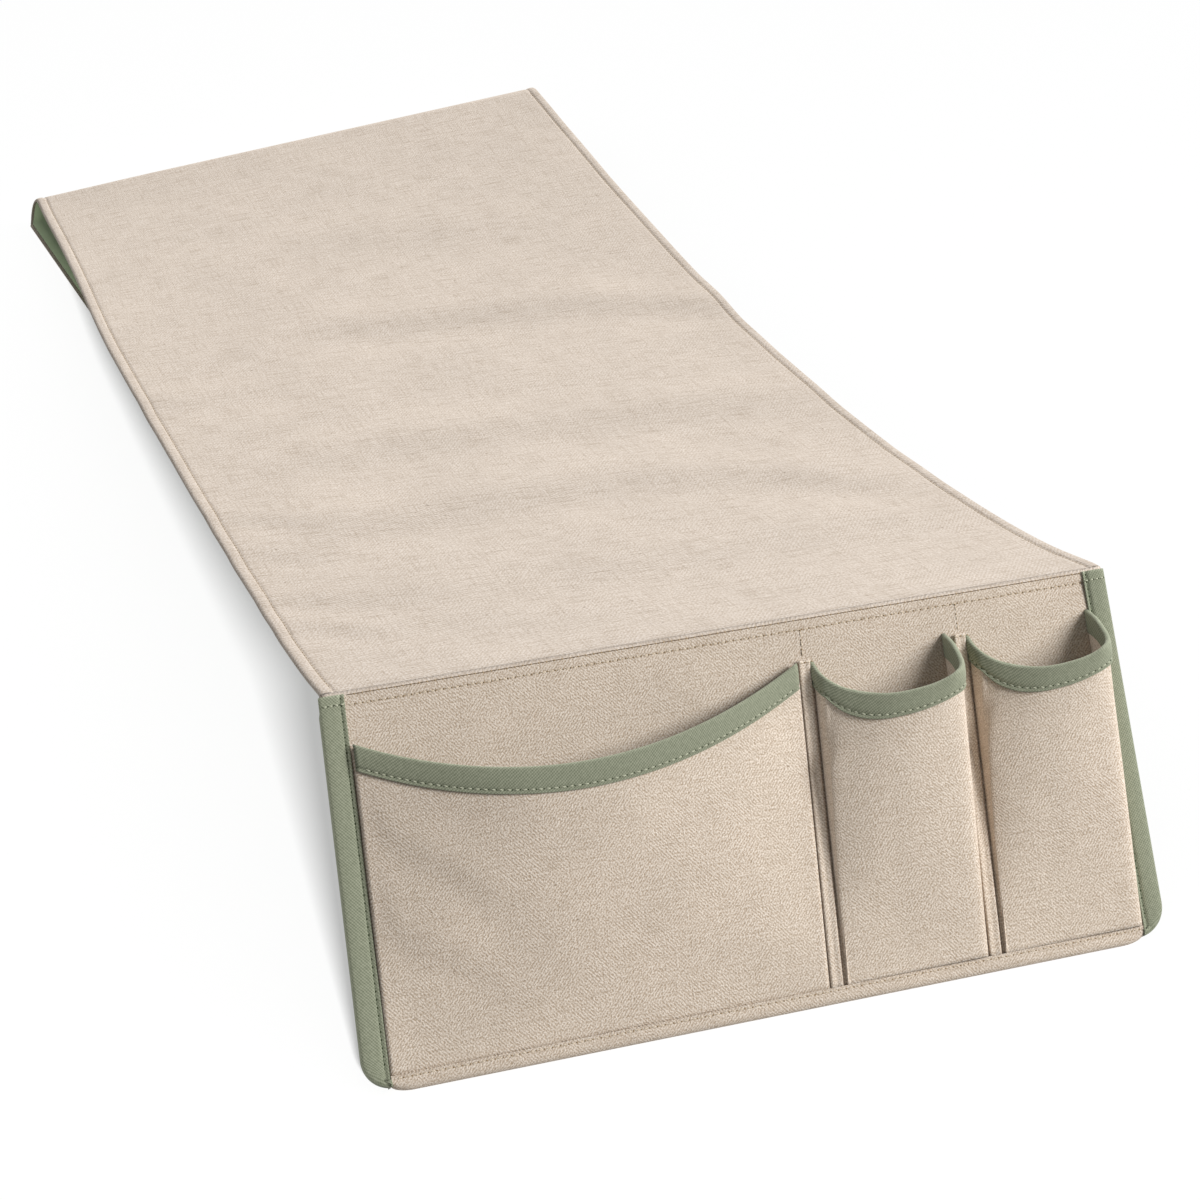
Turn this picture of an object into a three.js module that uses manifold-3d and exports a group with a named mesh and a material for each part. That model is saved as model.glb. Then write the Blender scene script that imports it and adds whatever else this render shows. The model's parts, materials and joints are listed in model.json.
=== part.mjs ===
import * as THREE from 'three';
import { mergeVertices } from 'three/addons/utils/BufferGeometryUtils.js';
import Module from 'manifold-3d';

// Sofa armrest organizer: a long lined linen runner that rises to a ridge,
// a pocket panel that leans down from the ridge to the floor, and a tail
// that is turned under at the rear. Millimetres, +Z up, pockets facing -Y.

// Cloth thicknesses and the clearance left between neighbouring pieces
const LINEN = 1.0;
const LINING = 0.7;
const INTERLINING = 1.0;
const TAPE = 0.8;
const CLEARANCE = 0.3;
const RIDGE_CLEARANCE = 0.9;

// Width of the runner and of the panel, edge to edge
const WIDTH = 330;

// Pocket panel: slope length, lean from upright, sideways drift of the ridge
const PANEL_LENGTH = 152;
const PANEL_LEAN = THREE.MathUtils.degToRad(42.7);
const PANEL_DRIFT = 11;
const CORNER_RADIUS = 12;
const BINDING_WIDTH = 10;
const BINDING_LIFT = 2;
const BINDING_RELIEF = 8;
const LINING_RELIEF = 4.5;
const HEM_HEIGHT = 6;

// Runner: level distance from the ridge to the rear fold, its sag at both
// edges, and the soft swells that cross it
const RUN = 764;
const SAG_LEFT = 6.6;
const SAG_RIGHT = 30;
const SAG_TOWARDS_RIDGE = 0.26;
const SWELL_HEIGHT = 2.4;
const SWELL_LENGTH = 104;
const SWELL_SLANT = 0.35;
const SWELL_AT_EDGES = 0.3;

// Topstitched band along both edges of the runner
const EDGE_BAND = 5.5;
const EDGE_RISE = 0.6;
const EDGE_ROUND = 1.2;
const STITCH_GROOVE = 0.25;

// Rear fold: outer height of the bend at each end, how far the right end
// lies behind the left, and the tail that is turned under it
const FOLD_HEIGHT_LEFT = 16.5;
const FOLD_HEIGHT_RIGHT = 40.5;
const FOLD_SKEW = 26;
const TAIL_LENGTH = 200;
const TAIL_TURN = THREE.MathUtils.degToRad(6.3);

// Pockets: each drop is measured down the slope from the ridge
const DIVIDER_DROP = 17;
const POCKET_LIFT = 1.2;
const LARGE_DROP_LEFT = 20.6;
const LARGE_DROP_RIGHT = 18.5;
const LARGE_SCOOP = 24.8;
const LARGE_BELLY = 10;
const NARROW_WIDTH = 62;
const NARROW_DROP = 18.5;
const NARROW_PULL = 3;
const NARROW_SCOOP = 21;
const NARROW_SCOOP_POWER = 1.1;
const NARROW_DEPTH = 25.5;
const NARROW_FOOT_DEPTH = 2.4;
const NARROW_SQUARENESS = 4;
const NARROW_EASE = 2.2;
const NARROW_PEAK = 0.8;
const DIVIDER_WIDTH = 5;
const SEAM_LEAN = 7;

// Facets along and across the curved pieces
const RUNNER_STEPS = 38;
const FOLD_STEPS = 10;
const TAIL_STEPS = 4;
const FIELD_STEPS = 7;
const POCKET_STEPS = 10;
const LARGE_STEPS = 18;
const NARROW_STEPS = 24;
const WRAP_STEPS = 4;
const ARC_STEPS = 8;
const SLOPE_STEP = 1e-3;

// Sizes that follow from those above
const STACK = LINEN + INTERLINING + LINING + 2 * CLEARANCE;
const RUNNER_THICKNESS = LINEN + CLEARANCE + LINING;
const HEM_RADIUS = STACK / 2 + CLEARANCE + LINEN;
const RIDGE_ROLL = STACK / 2;
const RIDGE_Y = (PANEL_LENGTH - HEM_RADIUS) * Math.sin(PANEL_LEAN);
const RIDGE_Z = (PANEL_LENGTH - HEM_RADIUS) * Math.cos(PANEL_LEAN) + HEM_RADIUS;
const FOLD_RISE = FOLD_HEIGHT_RIGHT - FOLD_HEIGHT_LEFT;
const FOLD_SPAN = Math.sqrt(WIDTH ** 2 - FOLD_SKEW ** 2 - FOLD_RISE ** 2);
const POCKET_FOOT = HEM_HEIGHT + CLEARANCE;
const POCKET_TOP = PANEL_LENGTH - DIVIDER_DROP;
const POCKET_EDGE = WIDTH / 2 - BINDING_WIDTH;

const wasm = await Module();
wasm.setup();

const linen = { color: 0xcbbba4, roughness: 0.95, metalness: 0 };
const panelLinen = { color: 0xc4b299, roughness: 0.95, metalness: 0 };
const sage = { color: 0x8f9d7f, roughness: 0.9, metalness: 0 };
const felt = { color: 0xe6e2d8, roughness: 1, metalness: 0 };

function piece(name, geometry, look) {
  const mesh = new THREE.Mesh(geometry, new THREE.MeshStandardMaterial(look));
  mesh.name = name;
  return mesh;
}

function solid(geometry) {
  const bare = geometry.clone();
  bare.deleteAttribute('normal');
  bare.deleteAttribute('uv');
  const merged = mergeVertices(bare);
  const vertProperties = new Float32Array(merged.attributes.position.array);
  const triVerts = new Uint32Array(merged.index.array);
  return new wasm.Manifold(new wasm.Mesh({ numProp: 3, vertProperties, triVerts }));
}

function surfaceOf(body) {
  const mesh = body.getMesh();
  const geometry = new THREE.BufferGeometry();
  geometry.setAttribute('position', new THREE.BufferAttribute(mesh.vertProperties, 3));
  geometry.setIndex(new THREE.BufferAttribute(mesh.triVerts, 1));
  return geometry;
}

function block(x0, x1, y0, y1, z0, z1) {
  const box = new THREE.BoxGeometry(x1 - x0, y1 - y0, z1 - z0);
  return box.translate((x0 + x1) / 2, (y0 + y1) / 2, (z0 + z1) / 2);
}

// A sheet of cloth between two faces, each a function of u and v from 0 to 1.
// The grid lines stand at the given values of u and v.
function sheet(front, back, us, vs) {
  const positions = [];
  const index = [];
  const columns = us.length;
  const rows = vs.length;
  for (const face of [front, back]) {
    for (const v of vs) {
      for (const u of us) {
        positions.push(...face(u, v).toArray());
      }
    }
  }
  const i1 = columns - 1;
  const j1 = rows - 1;
  const at = (side, i, j) => side * columns * rows + j * columns + i;
  const quad = (a, b, c, d) => index.push(a, b, c, a, c, d);
  for (let j = 0; j < j1; j += 1) {
    for (let i = 0; i < i1; i += 1) {
      quad(at(0, i, j), at(0, i + 1, j), at(0, i + 1, j + 1), at(0, i, j + 1));
      quad(at(1, i, j), at(1, i, j + 1), at(1, i + 1, j + 1), at(1, i + 1, j));
    }
  }
  for (let i = 0; i < i1; i += 1) {
    quad(at(0, i, 0), at(1, i, 0), at(1, i + 1, 0), at(0, i + 1, 0));
    quad(at(0, i, j1), at(0, i + 1, j1), at(1, i + 1, j1), at(1, i, j1));
  }
  for (let j = 0; j < j1; j += 1) {
    quad(at(0, 0, j), at(0, 0, j + 1), at(1, 0, j + 1), at(1, 0, j));
    quad(at(0, i1, j), at(1, i1, j), at(1, i1, j + 1), at(0, i1, j + 1));
  }
  const geometry = new THREE.BufferGeometry();
  geometry.setAttribute('position', new THREE.Float32BufferAttribute(positions, 3));
  geometry.setIndex(enclosedVolume(positions, index) < 0 ? index.reverse() : index);
  return geometry;
}

function enclosedVolume(positions, index) {
  const corner = (k) => new THREE.Vector3().fromArray(positions, index[k] * 3);
  let volume = 0;
  for (let k = 0; k < index.length; k += 3) {
    volume += corner(k).dot(corner(k + 1).cross(corner(k + 2))) / 6;
  }
  return volume;
}

function evenly(steps) {
  return Array.from({ length: steps + 1 }, (_, i) => i / steps);
}

// Unit normal of a face, from its neighbours in u and v
function normalOf(face, u, v) {
  const u0 = Math.max(0, u - SLOPE_STEP);
  const u1 = Math.min(1, u + SLOPE_STEP);
  const v0 = Math.max(0, v - SLOPE_STEP);
  const v1 = Math.min(1, v + SLOPE_STEP);
  const alongU = face(u1, v).sub(face(u0, v));
  const alongV = face(u, v1).sub(face(u, v0));
  return alongU.cross(alongV).normalize();
}

function offsetFace(face, distance) {
  return (u, v) => face(u, v).addScaledVector(normalOf(face, u, v), distance(u, v));
}

// Runner, rear fold and tail: three stretches of one lined strip of cloth.
// u runs from the left edge to the right, v from the ridge to the rear.

const ridgeCentre = new THREE.Vector3(PANEL_DRIFT, RIDGE_Y, RIDGE_Z);
const halfCloth = RUNNER_THICKNESS / 2;

function foldCentre(u) {
  const across = (u - 0.5) * FOLD_SPAN;
  const height = THREE.MathUtils.lerp(FOLD_HEIGHT_LEFT, FOLD_HEIGHT_RIGHT, u);
  return new THREE.Vector3(across, RIDGE_Y + RUN + (u - 0.5) * FOLD_SKEW, height / 2);
}

function sagShape(v) {
  return 4 * v * (1 - v) * (1 + SAG_TOWARDS_RIDGE * (1 - 2 * v));
}

function swell(u, v) {
  const across = THREE.MathUtils.lerp(SWELL_AT_EDGES, 1, Math.sin(Math.PI * u));
  const fade = across * Math.sin(Math.PI * v) ** 2;
  const phase = (2 * Math.PI * RUN * v) / SWELL_LENGTH + 2 * Math.PI * SWELL_SLANT * u;
  return SWELL_HEIGHT * fade * Math.sin(phase);
}

function runnerFace(u, v) {
  const start = ridgeCentre.clone();
  start.x += (u - 0.5) * WIDTH;
  start.y += RIDGE_ROLL + RIDGE_CLEARANCE;
  start.z += halfCloth;
  const end = foldCentre(u);
  end.z *= 2;
  end.y -= CLEARANCE;
  const point = start.lerp(end, v);
  point.z -= THREE.MathUtils.lerp(SAG_LEFT, SAG_RIGHT, u) * sagShape(v);
  point.z += swell(u, v);
  return point;
}

function foldFace(u, v) {
  const centre = foldCentre(u);
  const radius = centre.z;
  centre.y += radius * Math.sin(Math.PI * v);
  centre.z += radius * Math.cos(Math.PI * v);
  return centre;
}

function tailFace(u, v) {
  const rear = foldCentre(u);
  rear.y -= CLEARANCE;
  rear.z = 0;
  const forward = new THREE.Vector3(Math.sin(TAIL_TURN), -Math.cos(TAIL_TURN), 0);
  const across = new THREE.Vector3(Math.cos(TAIL_TURN), Math.sin(TAIL_TURN), 0);
  const end = foldCentre(0.5).setZ(0);
  end.addScaledVector(forward, TAIL_LENGTH);
  end.addScaledVector(across, (u - 0.5) * WIDTH);
  return rear.lerp(end, v);
}

// Height of the cover above its plain face, over the bands at both edges
function bandRise(u) {
  const inset = Math.min(u, 1 - u) * WIDTH;
  if (inset < EDGE_ROUND) {
    return THREE.MathUtils.lerp(-EDGE_RISE, EDGE_RISE, inset / EDGE_ROUND);
  }
  if (inset < EDGE_BAND) {
    const towardsStitch = (inset - EDGE_ROUND) / (EDGE_BAND - EDGE_ROUND);
    return THREE.MathUtils.lerp(EDGE_RISE, -STITCH_GROOVE, towardsStitch);
  }
  const pastStitch = Math.min(1, (inset - EDGE_BAND) / EDGE_ROUND);
  return THREE.MathUtils.lerp(-STITCH_GROOVE, 0, pastStitch);
}

function coverColumns() {
  const band = [0, EDGE_ROUND, EDGE_BAND, EDGE_BAND + EDGE_ROUND].map((inset) => inset / WIDTH);
  const first = band[band.length - 1];
  const field = evenly(FIELD_STEPS).slice(1, -1);
  const middle = field.map((f) => THREE.MathUtils.lerp(first, 1 - first, f));
  return [...band, ...middle, ...band.map((u) => 1 - u).reverse()];
}

// pressed is 0 where the edge bands stand proud and 1 where they lie flat
function cover(face, steps, pressed) {
  const top = offsetFace(face, (u, v) => bandRise(u) * (1 - pressed(v)));
  const underside = offsetFace(face, () => -LINEN);
  return sheet(top, underside, coverColumns(), evenly(steps));
}

function lining(face, steps) {
  const top = offsetFace(face, () => -LINEN - CLEARANCE);
  const underside = offsetFace(face, () => -RUNNER_THICKNESS);
  return sheet(top, underside, evenly(FIELD_STEPS), evenly(steps));
}

const runner = new THREE.Group();
runner.add(piece('runner_cover', cover(runnerFace, RUNNER_STEPS, () => 0), linen));
runner.add(piece('runner_lining', lining(runnerFace, RUNNER_STEPS), sage));
runner.add(piece('rear_fold_cover', cover(foldFace, FOLD_STEPS, (v) => v), linen));
runner.add(piece('rear_fold_lining', lining(foldFace, FOLD_STEPS), sage));

const tail = new THREE.Group();
tail.add(piece('tail_cover', cover(tailFace, TAIL_STEPS, () => 1), linen));
tail.add(piece('tail_lining', lining(tailFace, TAIL_STEPS), sage));

// Pocket panel. Its group stands at the ridge: x across, y up the slope from
// the bottom edge less the panel's length, z out of the pocket side.

const panel = new THREE.Group();
panel.position.copy(ridgeCentre);
panel.rotation.x = Math.PI / 2 - PANEL_LEAN;

// The panel hangs a little askew, so every piece drifts sideways with height
const drift = new THREE.Matrix4().makeShear(0, 0, PANEL_DRIFT / PANEL_LENGTH, 0, 0, 0);
const seat = new THREE.Matrix4().makeTranslation(0, -PANEL_LENGTH, STACK / 2);

function addToPanel(name, geometry, look) {
  panel.add(piece(name, geometry.applyMatrix4(seat).applyMatrix4(drift), look));
}

// Outline of the panel with its two rounded lower corners
function panelOutline(side, bottom, top, radius) {
  const shape = new THREE.Shape();
  shape.moveTo(-side, top);
  shape.lineTo(-side, bottom + radius);
  shape.absarc(-side + radius, bottom + radius, radius, Math.PI, 1.5 * Math.PI, false);
  shape.lineTo(side - radius, bottom);
  shape.absarc(side - radius, bottom + radius, radius, 1.5 * Math.PI, 2 * Math.PI, false);
  shape.lineTo(side, top);
  shape.closePath();
  return shape;
}

function plate(outline, z0, z1) {
  const options = { depth: z1 - z0, bevelEnabled: false, curveSegments: ARC_STEPS };
  return new THREE.ExtrudeGeometry(outline, options).translate(0, 0, z0);
}

const layerSide = WIDTH / 2 - TAPE - CLEARANCE;
const layerBottom = HEM_RADIUS;
const layerTop = PANEL_LENGTH - LINING_RELIEF;
const layerRadius = Math.max(CLEARANCE, CORNER_RADIUS - TAPE - CLEARANCE);

function layer(z0, z1, top) {
  return plate(panelOutline(layerSide, layerBottom, top, layerRadius), z0, z1);
}

// The linen backing ends in the rolled seam along the ridge
const roll = new THREE.CylinderGeometry(RIDGE_ROLL, RIDGE_ROLL, 2 * layerSide, 2 * ARC_STEPS);
roll.rotateZ(Math.PI / 2).translate(0, PANEL_LENGTH, -STACK / 2);
const backing = solid(layer(-LINEN, 0, PANEL_LENGTH)).add(solid(roll));
addToPanel('pocket_panel', surfaceOf(backing), panelLinen);

const interliningFront = -LINEN - CLEARANCE;
const interliningBack = interliningFront - INTERLINING;
addToPanel('panel_interlining', layer(interliningBack, interliningFront, layerTop), felt);
addToPanel('panel_lining', layer(-STACK, -STACK + LINING, layerTop), sage);

// Twill tape folded round each side of the panel
const bindingFront = CLEARANCE + TAPE;
const bindingBack = -STACK - CLEARANCE - TAPE;
const bindingTop = PANEL_LENGTH + RIDGE_ROLL;
const bindingRadius = Math.max(CLEARANCE, CORNER_RADIUS - TAPE);
const bindingOutline = panelOutline(WIDTH / 2, BINDING_LIFT, bindingTop, CORNER_RADIUS);
const bindingCore = panelOutline(WIDTH / 2 - TAPE, 0, 2 * bindingTop, bindingRadius);
const wrapped = solid(plate(bindingOutline, bindingBack, bindingFront));
const wrappedCore = solid(plate(bindingCore, bindingBack + TAPE, bindingFront - TAPE));
const ridgeRelief = solid(
  block(-WIDTH, WIDTH, PANEL_LENGTH - BINDING_RELIEF, 2 * bindingTop, 2 * bindingBack, -STACK / 2),
);
const bindings = wrapped.subtract(wrappedCore).subtract(ridgeRelief);
for (const [name, x0, x1] of [
  ['left_side_binding', -WIDTH, -POCKET_EDGE],
  ['right_side_binding', POCKET_EDGE, WIDTH],
]) {
  const strip = solid(block(x0, x1, -WIDTH, WIDTH, -WIDTH, WIDTH));
  addToPanel(name, surfaceOf(bindings.intersect(strip)), sage);
}

// Linen hem folded round the bottom edge between the two bindings
function hemProfile() {
  const inner = HEM_RADIUS - LINEN;
  const shape = new THREE.Shape();
  shape.moveTo(-HEM_RADIUS, HEM_HEIGHT);
  shape.absarc(0, HEM_RADIUS, HEM_RADIUS, Math.PI, 2 * Math.PI, false);
  shape.lineTo(HEM_RADIUS, HEM_HEIGHT);
  shape.lineTo(inner, HEM_HEIGHT);
  shape.absarc(0, HEM_RADIUS, inner, 2 * Math.PI, Math.PI, true);
  shape.lineTo(-inner, HEM_HEIGHT);
  shape.closePath();
  return shape;
}
const hemReach = POCKET_EDGE - CLEARANCE;
const hem = plate(hemProfile(), -hemReach, hemReach);
hem.rotateY(Math.PI / 2).translate(0, 0, -STACK / 2);
addToPanel('bottom_hem', hem, panelLinen);

// Divider strips, with the seams between the pockets leaning with height
function seamX(foot, height) {
  return foot + (SEAM_LEAN * height) / POCKET_TOP;
}

function dividerStrip(foot) {
  const shape = new THREE.Shape();
  shape.moveTo(seamX(foot, POCKET_FOOT), POCKET_FOOT);
  shape.lineTo(seamX(foot + DIVIDER_WIDTH, POCKET_FOOT), POCKET_FOOT);
  shape.lineTo(seamX(foot + DIVIDER_WIDTH, POCKET_TOP), POCKET_TOP);
  shape.lineTo(seamX(foot, POCKET_TOP), POCKET_TOP);
  shape.closePath();
  return plate(shape, CLEARANCE, CLEARANCE + LINEN);
}

const rightPocketFoot = POCKET_EDGE - NARROW_WIDTH;
const rightDividerFoot = rightPocketFoot - DIVIDER_WIDTH;
const middlePocketFoot = rightDividerFoot - NARROW_WIDTH;
const leftDividerFoot = middlePocketFoot - DIVIDER_WIDTH;
addToPanel('left_divider_strip', dividerStrip(leftDividerFoot), panelLinen);
addToPanel('right_divider_strip', dividerStrip(rightDividerFoot), panelLinen);

// Tape folded over a pocket's rim. The cloth is a function of u along the rim
// and of the height up the slope, and the rim's height is a function of u.
function rimBinding(cloth, rim, steps) {
  const wrap = Math.PI * (LINEN / 2 + CLEARANCE + TAPE);
  const length = 2 * BINDING_WIDTH + wrap;
  const straight = BINDING_WIDTH / length;
  const face = (offset) => (u, v) => {
    const down = Math.max(0, v < 0.5 ? straight - v : v - (1 - straight)) * length;
    const turn = THREE.MathUtils.clamp((v - straight) / (1 - 2 * straight), 0, 1) * Math.PI;
    const height = rim(u) - down;
    const slope = (s, h) => cloth(s, rim(s) - POCKET_TOP * (1 - h) - down);
    const normal = normalOf(slope, u, 1 - SLOPE_STEP);
    const point = cloth(u, height).addScaledVector(normal, offset * Math.cos(turn));
    point.y += offset * Math.sin(turn);
    return point;
  };
  const bends = evenly(WRAP_STEPS).map((t) => straight + t * (1 - 2 * straight));
  const inner = face(LINEN / 2 + CLEARANCE);
  const outer = face(LINEN / 2 + CLEARANCE + TAPE);
  return sheet(outer, inner, evenly(steps), [0, straight / 2, ...bends, 1 - straight / 2, 1]);
}

// Large flat pocket: sewn down along both sides, its front swelling towards
// the mouth, its rim a shallow scoop
function largeCloth(u, height) {
  const rise = THREE.MathUtils.clamp((height - POCKET_FOOT) / (POCKET_TOP - POCKET_FOOT), 0, 1);
  const left = -POCKET_EDGE + CLEARANCE;
  const right = seamX(leftDividerFoot, height) - CLEARANCE;
  const swelling = POCKET_LIFT + LARGE_BELLY * Math.sin(Math.PI * u) ** 2;
  const z = CLEARANCE + LINEN / 2 + swelling * Math.sin((Math.PI / 2) * rise);
  return new THREE.Vector3(THREE.MathUtils.lerp(left, right, u), height, z);
}

function largeRim(u) {
  const drop = THREE.MathUtils.lerp(LARGE_DROP_LEFT, LARGE_DROP_RIGHT, u);
  return PANEL_LENGTH - drop - LARGE_SCOOP * (1 - (2 * u - 1) ** 2);
}

function largeFace(u, v) {
  return largeCloth(u, THREE.MathUtils.lerp(POCKET_FOOT, largeRim(u), v));
}

const largeFront = offsetFace(largeFace, () => LINEN / 2);
const largeBack = offsetFace(largeFace, () => -LINEN / 2);
const largePocket = sheet(largeFront, largeBack, evenly(LARGE_STEPS), evenly(POCKET_STEPS));
addToPanel('large_pocket', largePocket, panelLinen);
addToPanel('large_pocket_binding', rimBinding(largeCloth, largeRim, LARGE_STEPS), sage);

// Narrow bellows pockets: a section that deepens upwards, with an eased left
// side, which rises to a peak past the middle, and a steep right wall. inset
// moves the section in from the pocket's outer face.
function narrowSection(foot, leftLean, rightLean, inset) {
  const side = TAPE + 2 * CLEARANCE + inset;
  return (u, height) => {
    const rise = THREE.MathUtils.clamp((height - POCKET_FOOT) / (POCKET_TOP - POCKET_FOOT), 0, 1);
    const left = foot + leftLean * (height / POCKET_TOP) + side;
    const right = foot + NARROW_WIDTH + rightLean * (height / POCKET_TOP) - side;
    const full = THREE.MathUtils.lerp(NARROW_FOOT_DEPTH, NARROW_DEPTH, rise);
    const peak = THREE.MathUtils.lerp(left, right, NARROW_PEAK);
    const power = 2 / (u < 0.5 ? NARROW_EASE : NARROW_SQUARENESS);
    const angle = Math.PI * (1 - u);
    const away = Math.abs(Math.cos(angle)) ** power;
    const out = Math.max(0, Math.sin(angle)) ** power;
    const x = THREE.MathUtils.lerp(peak, u < 0.5 ? left : right, away);
    return new THREE.Vector3(x, height, CLEARANCE + (full - inset) * out);
  };
}

function narrowRim(u) {
  return PANEL_LENGTH - NARROW_DROP - NARROW_SCOOP * Math.sin(Math.PI * u) ** NARROW_SCOOP_POWER;
}

function addNarrowPocket(name, foot, leftLean, rightLean) {
  const face = (inset) => {
    const section = narrowSection(foot, leftLean, rightLean, inset);
    return (u, v) => section(u, THREE.MathUtils.lerp(POCKET_FOOT, narrowRim(u), v));
  };
  const body = sheet(face(0), face(LINEN), evenly(NARROW_STEPS), evenly(POCKET_STEPS));
  addToPanel(name, body, panelLinen);
  const middle = narrowSection(foot, leftLean, rightLean, LINEN / 2);
  addToPanel(`${name}_binding`, rimBinding(middle, narrowRim, NARROW_STEPS), sage);
}

addNarrowPocket('middle_pocket', middlePocketFoot, SEAM_LEAN, SEAM_LEAN - NARROW_PULL);
addNarrowPocket('right_pocket', rightPocketFoot, SEAM_LEAN, 0);

// The origin is the middle of the base
const organizer = new THREE.Group();
organizer.add(runner, tail, panel);
organizer.updateMatrixWorld(true);
const extent = new THREE.Box3().setFromObject(organizer, true);
const middle = extent.getCenter(new THREE.Vector3());
organizer.position.set(-middle.x, -middle.y, -extent.min.z);

export default organizer;
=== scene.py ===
import json
import math

import bpy
import numpy as np
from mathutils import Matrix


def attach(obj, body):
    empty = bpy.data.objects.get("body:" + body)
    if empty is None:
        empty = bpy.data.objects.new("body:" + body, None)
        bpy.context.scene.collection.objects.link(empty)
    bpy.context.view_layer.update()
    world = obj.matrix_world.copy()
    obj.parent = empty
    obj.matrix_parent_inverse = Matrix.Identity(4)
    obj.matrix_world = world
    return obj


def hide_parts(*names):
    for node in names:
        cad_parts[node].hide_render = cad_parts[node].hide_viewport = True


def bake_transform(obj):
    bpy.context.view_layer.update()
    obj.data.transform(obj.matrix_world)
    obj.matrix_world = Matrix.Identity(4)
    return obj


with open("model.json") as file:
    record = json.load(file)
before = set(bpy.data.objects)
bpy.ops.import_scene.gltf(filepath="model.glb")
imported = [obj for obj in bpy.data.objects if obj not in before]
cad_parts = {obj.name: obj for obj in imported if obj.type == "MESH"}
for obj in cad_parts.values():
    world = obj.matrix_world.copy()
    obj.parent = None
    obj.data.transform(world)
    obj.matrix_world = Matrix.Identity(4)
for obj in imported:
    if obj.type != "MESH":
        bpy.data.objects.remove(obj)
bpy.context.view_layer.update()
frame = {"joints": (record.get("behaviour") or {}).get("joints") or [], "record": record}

# Runner: one long strip of slubbed linen that lies over the sofa arm, bends
# round at the rear and ends in a tail turned under it. It is sewn to its
# lining along both sides, turned right side out and topstitched there.
MM = 0.001
WIDTH = 330 * MM
TAIL_LENGTH = 200 * MM
TAIL_TURN = math.radians(6.3)
SAG_LEFT = 6.6 * MM
SAG_RIGHT = 30 * MM
SAG_TOWARDS_RIDGE = 0.26
RIDGE_GAP = 1.0 * MM
RIDGE_TOP = 1.2 * MM
CREST_HEIGHT = 0.5 * MM
CREST_BACK = 8 * MM
RIDGE_DIP = 1.8 * MM
RIDGE_DIP_LENGTH = 32 * MM
REAR_DRAW = 5.5 * MM
REAR_DRAW_SPAN = (0.6, 0.92)
FRONT_DRAW = 1.5 * MM
FRONT_DRAW_LENGTH = 26 * MM
DRAWN_SHARE = 0.25
LINEN_THICKNESS = 0.7 * MM
EDGE_ROUND = 1.5 * MM
EDGE_BAND = 5.5 * MM
EDGE_PUFF = 0.4 * MM
STITCH_GROOVE = 0.6 * MM
GROOVE_HALF_WIDTH = 0.6 * MM
RUNNER_UNEVENNESS = 0.17 * MM
RIPPLE_FREE = 30 * MM
RIPPLE_END = 0.9
RIPPLE_FADE_OUT = 0.14
RIPPLE_FADE_IN = 0.05
LEVELLING = 12

joints = {joint["name"]: joint for joint in frame["joints"]}
ridge = np.array(joints["panel_fold"]["pos_m"])
bend = np.array(joints["tail_fold"]["pos_m"])
bend_axis = np.array(joints["tail_fold"]["axis"])
RUN = bend[1] - ridge[1]

# Soft ripples across the runner, each rising towards the rear: shares of the
# width, distances from the ridge there in mm, height in mm and breadth in mm
RIPPLES = (
    ((0.37, 0.59, 0.78, 0.98), (455, 450, 446, 420), 1.15, 18),
    ((0.20, 0.37, 0.63, 0.92), (274, 287, 285, 284), 1.2, 20),
    ((0.16, 0.36, 0.58, 0.77, 0.90), (179, 191, 202, 183, 157), 1.3, 19),
    ((0.10, 0.45, 0.80), (575, 590, 570), 0.4, 24),
    ((0.04, 0.18), (379, 381), 0.6, 14),
    ((0.03, 0.12), (214, 198), 0.45, 10),
    ((0.03, 0.12), (165, 153), 0.45, 10),
    ((0.03, 0.15), (107, 95), 0.45, 10),
    ((0.03, 0.12), (76, 58), 0.4, 9),
    ((0.30, 0.55, 0.90), (92, 96, 108), 0.5, 18),
)


def smooth(value, low, high):
    share = np.clip((value - low) / (high - low), 0, 1)
    return share * share * (3 - 2 * share)


def mix(start, end, share):
    return start + (end - start) * share


# Small unevenness that any pressed cloth keeps, from a few crossing waves
waves = np.random.RandomState(11)
WAVE_LENGTHS = waves.uniform(34, 120, 14) * MM
WAVE_TURNS = waves.uniform(0, math.pi, 14)
WAVE_STARTS = waves.uniform(0, 2 * math.pi, 14)


def unevenness(x, y):
    total = np.zeros_like(x)
    for length, turn, start in zip(WAVE_LENGTHS, WAVE_TURNS, WAVE_STARTS):
        along = x * math.cos(turn) + y * math.sin(turn)
        total += length * np.sin(2 * math.pi * along / length + start)
    return total / WAVE_LENGTHS.sum() * math.sqrt(len(WAVE_LENGTHS))


def ripple_height(u, along):
    total = RUNNER_UNEVENNESS * unevenness(u * WIDTH, along)
    for shares, distances, height, breadth in RIPPLES:
        away = (along / MM - np.interp(u, shares, distances)) / breadth
        fade = smooth(u, shares[0] - RIPPLE_FADE_OUT, shares[0] + RIPPLE_FADE_IN)
        fade = fade * (1 - smooth(u, shares[-1] - RIPPLE_FADE_IN, shares[-1] + RIPPLE_FADE_OUT))
        total += height * MM * fade * away * np.exp(0.5 - away ** 2 / 2)
    return total


def bend_centre(u):
    return bend + (u - 0.5)[..., None] * WIDTH * bend_axis


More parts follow.
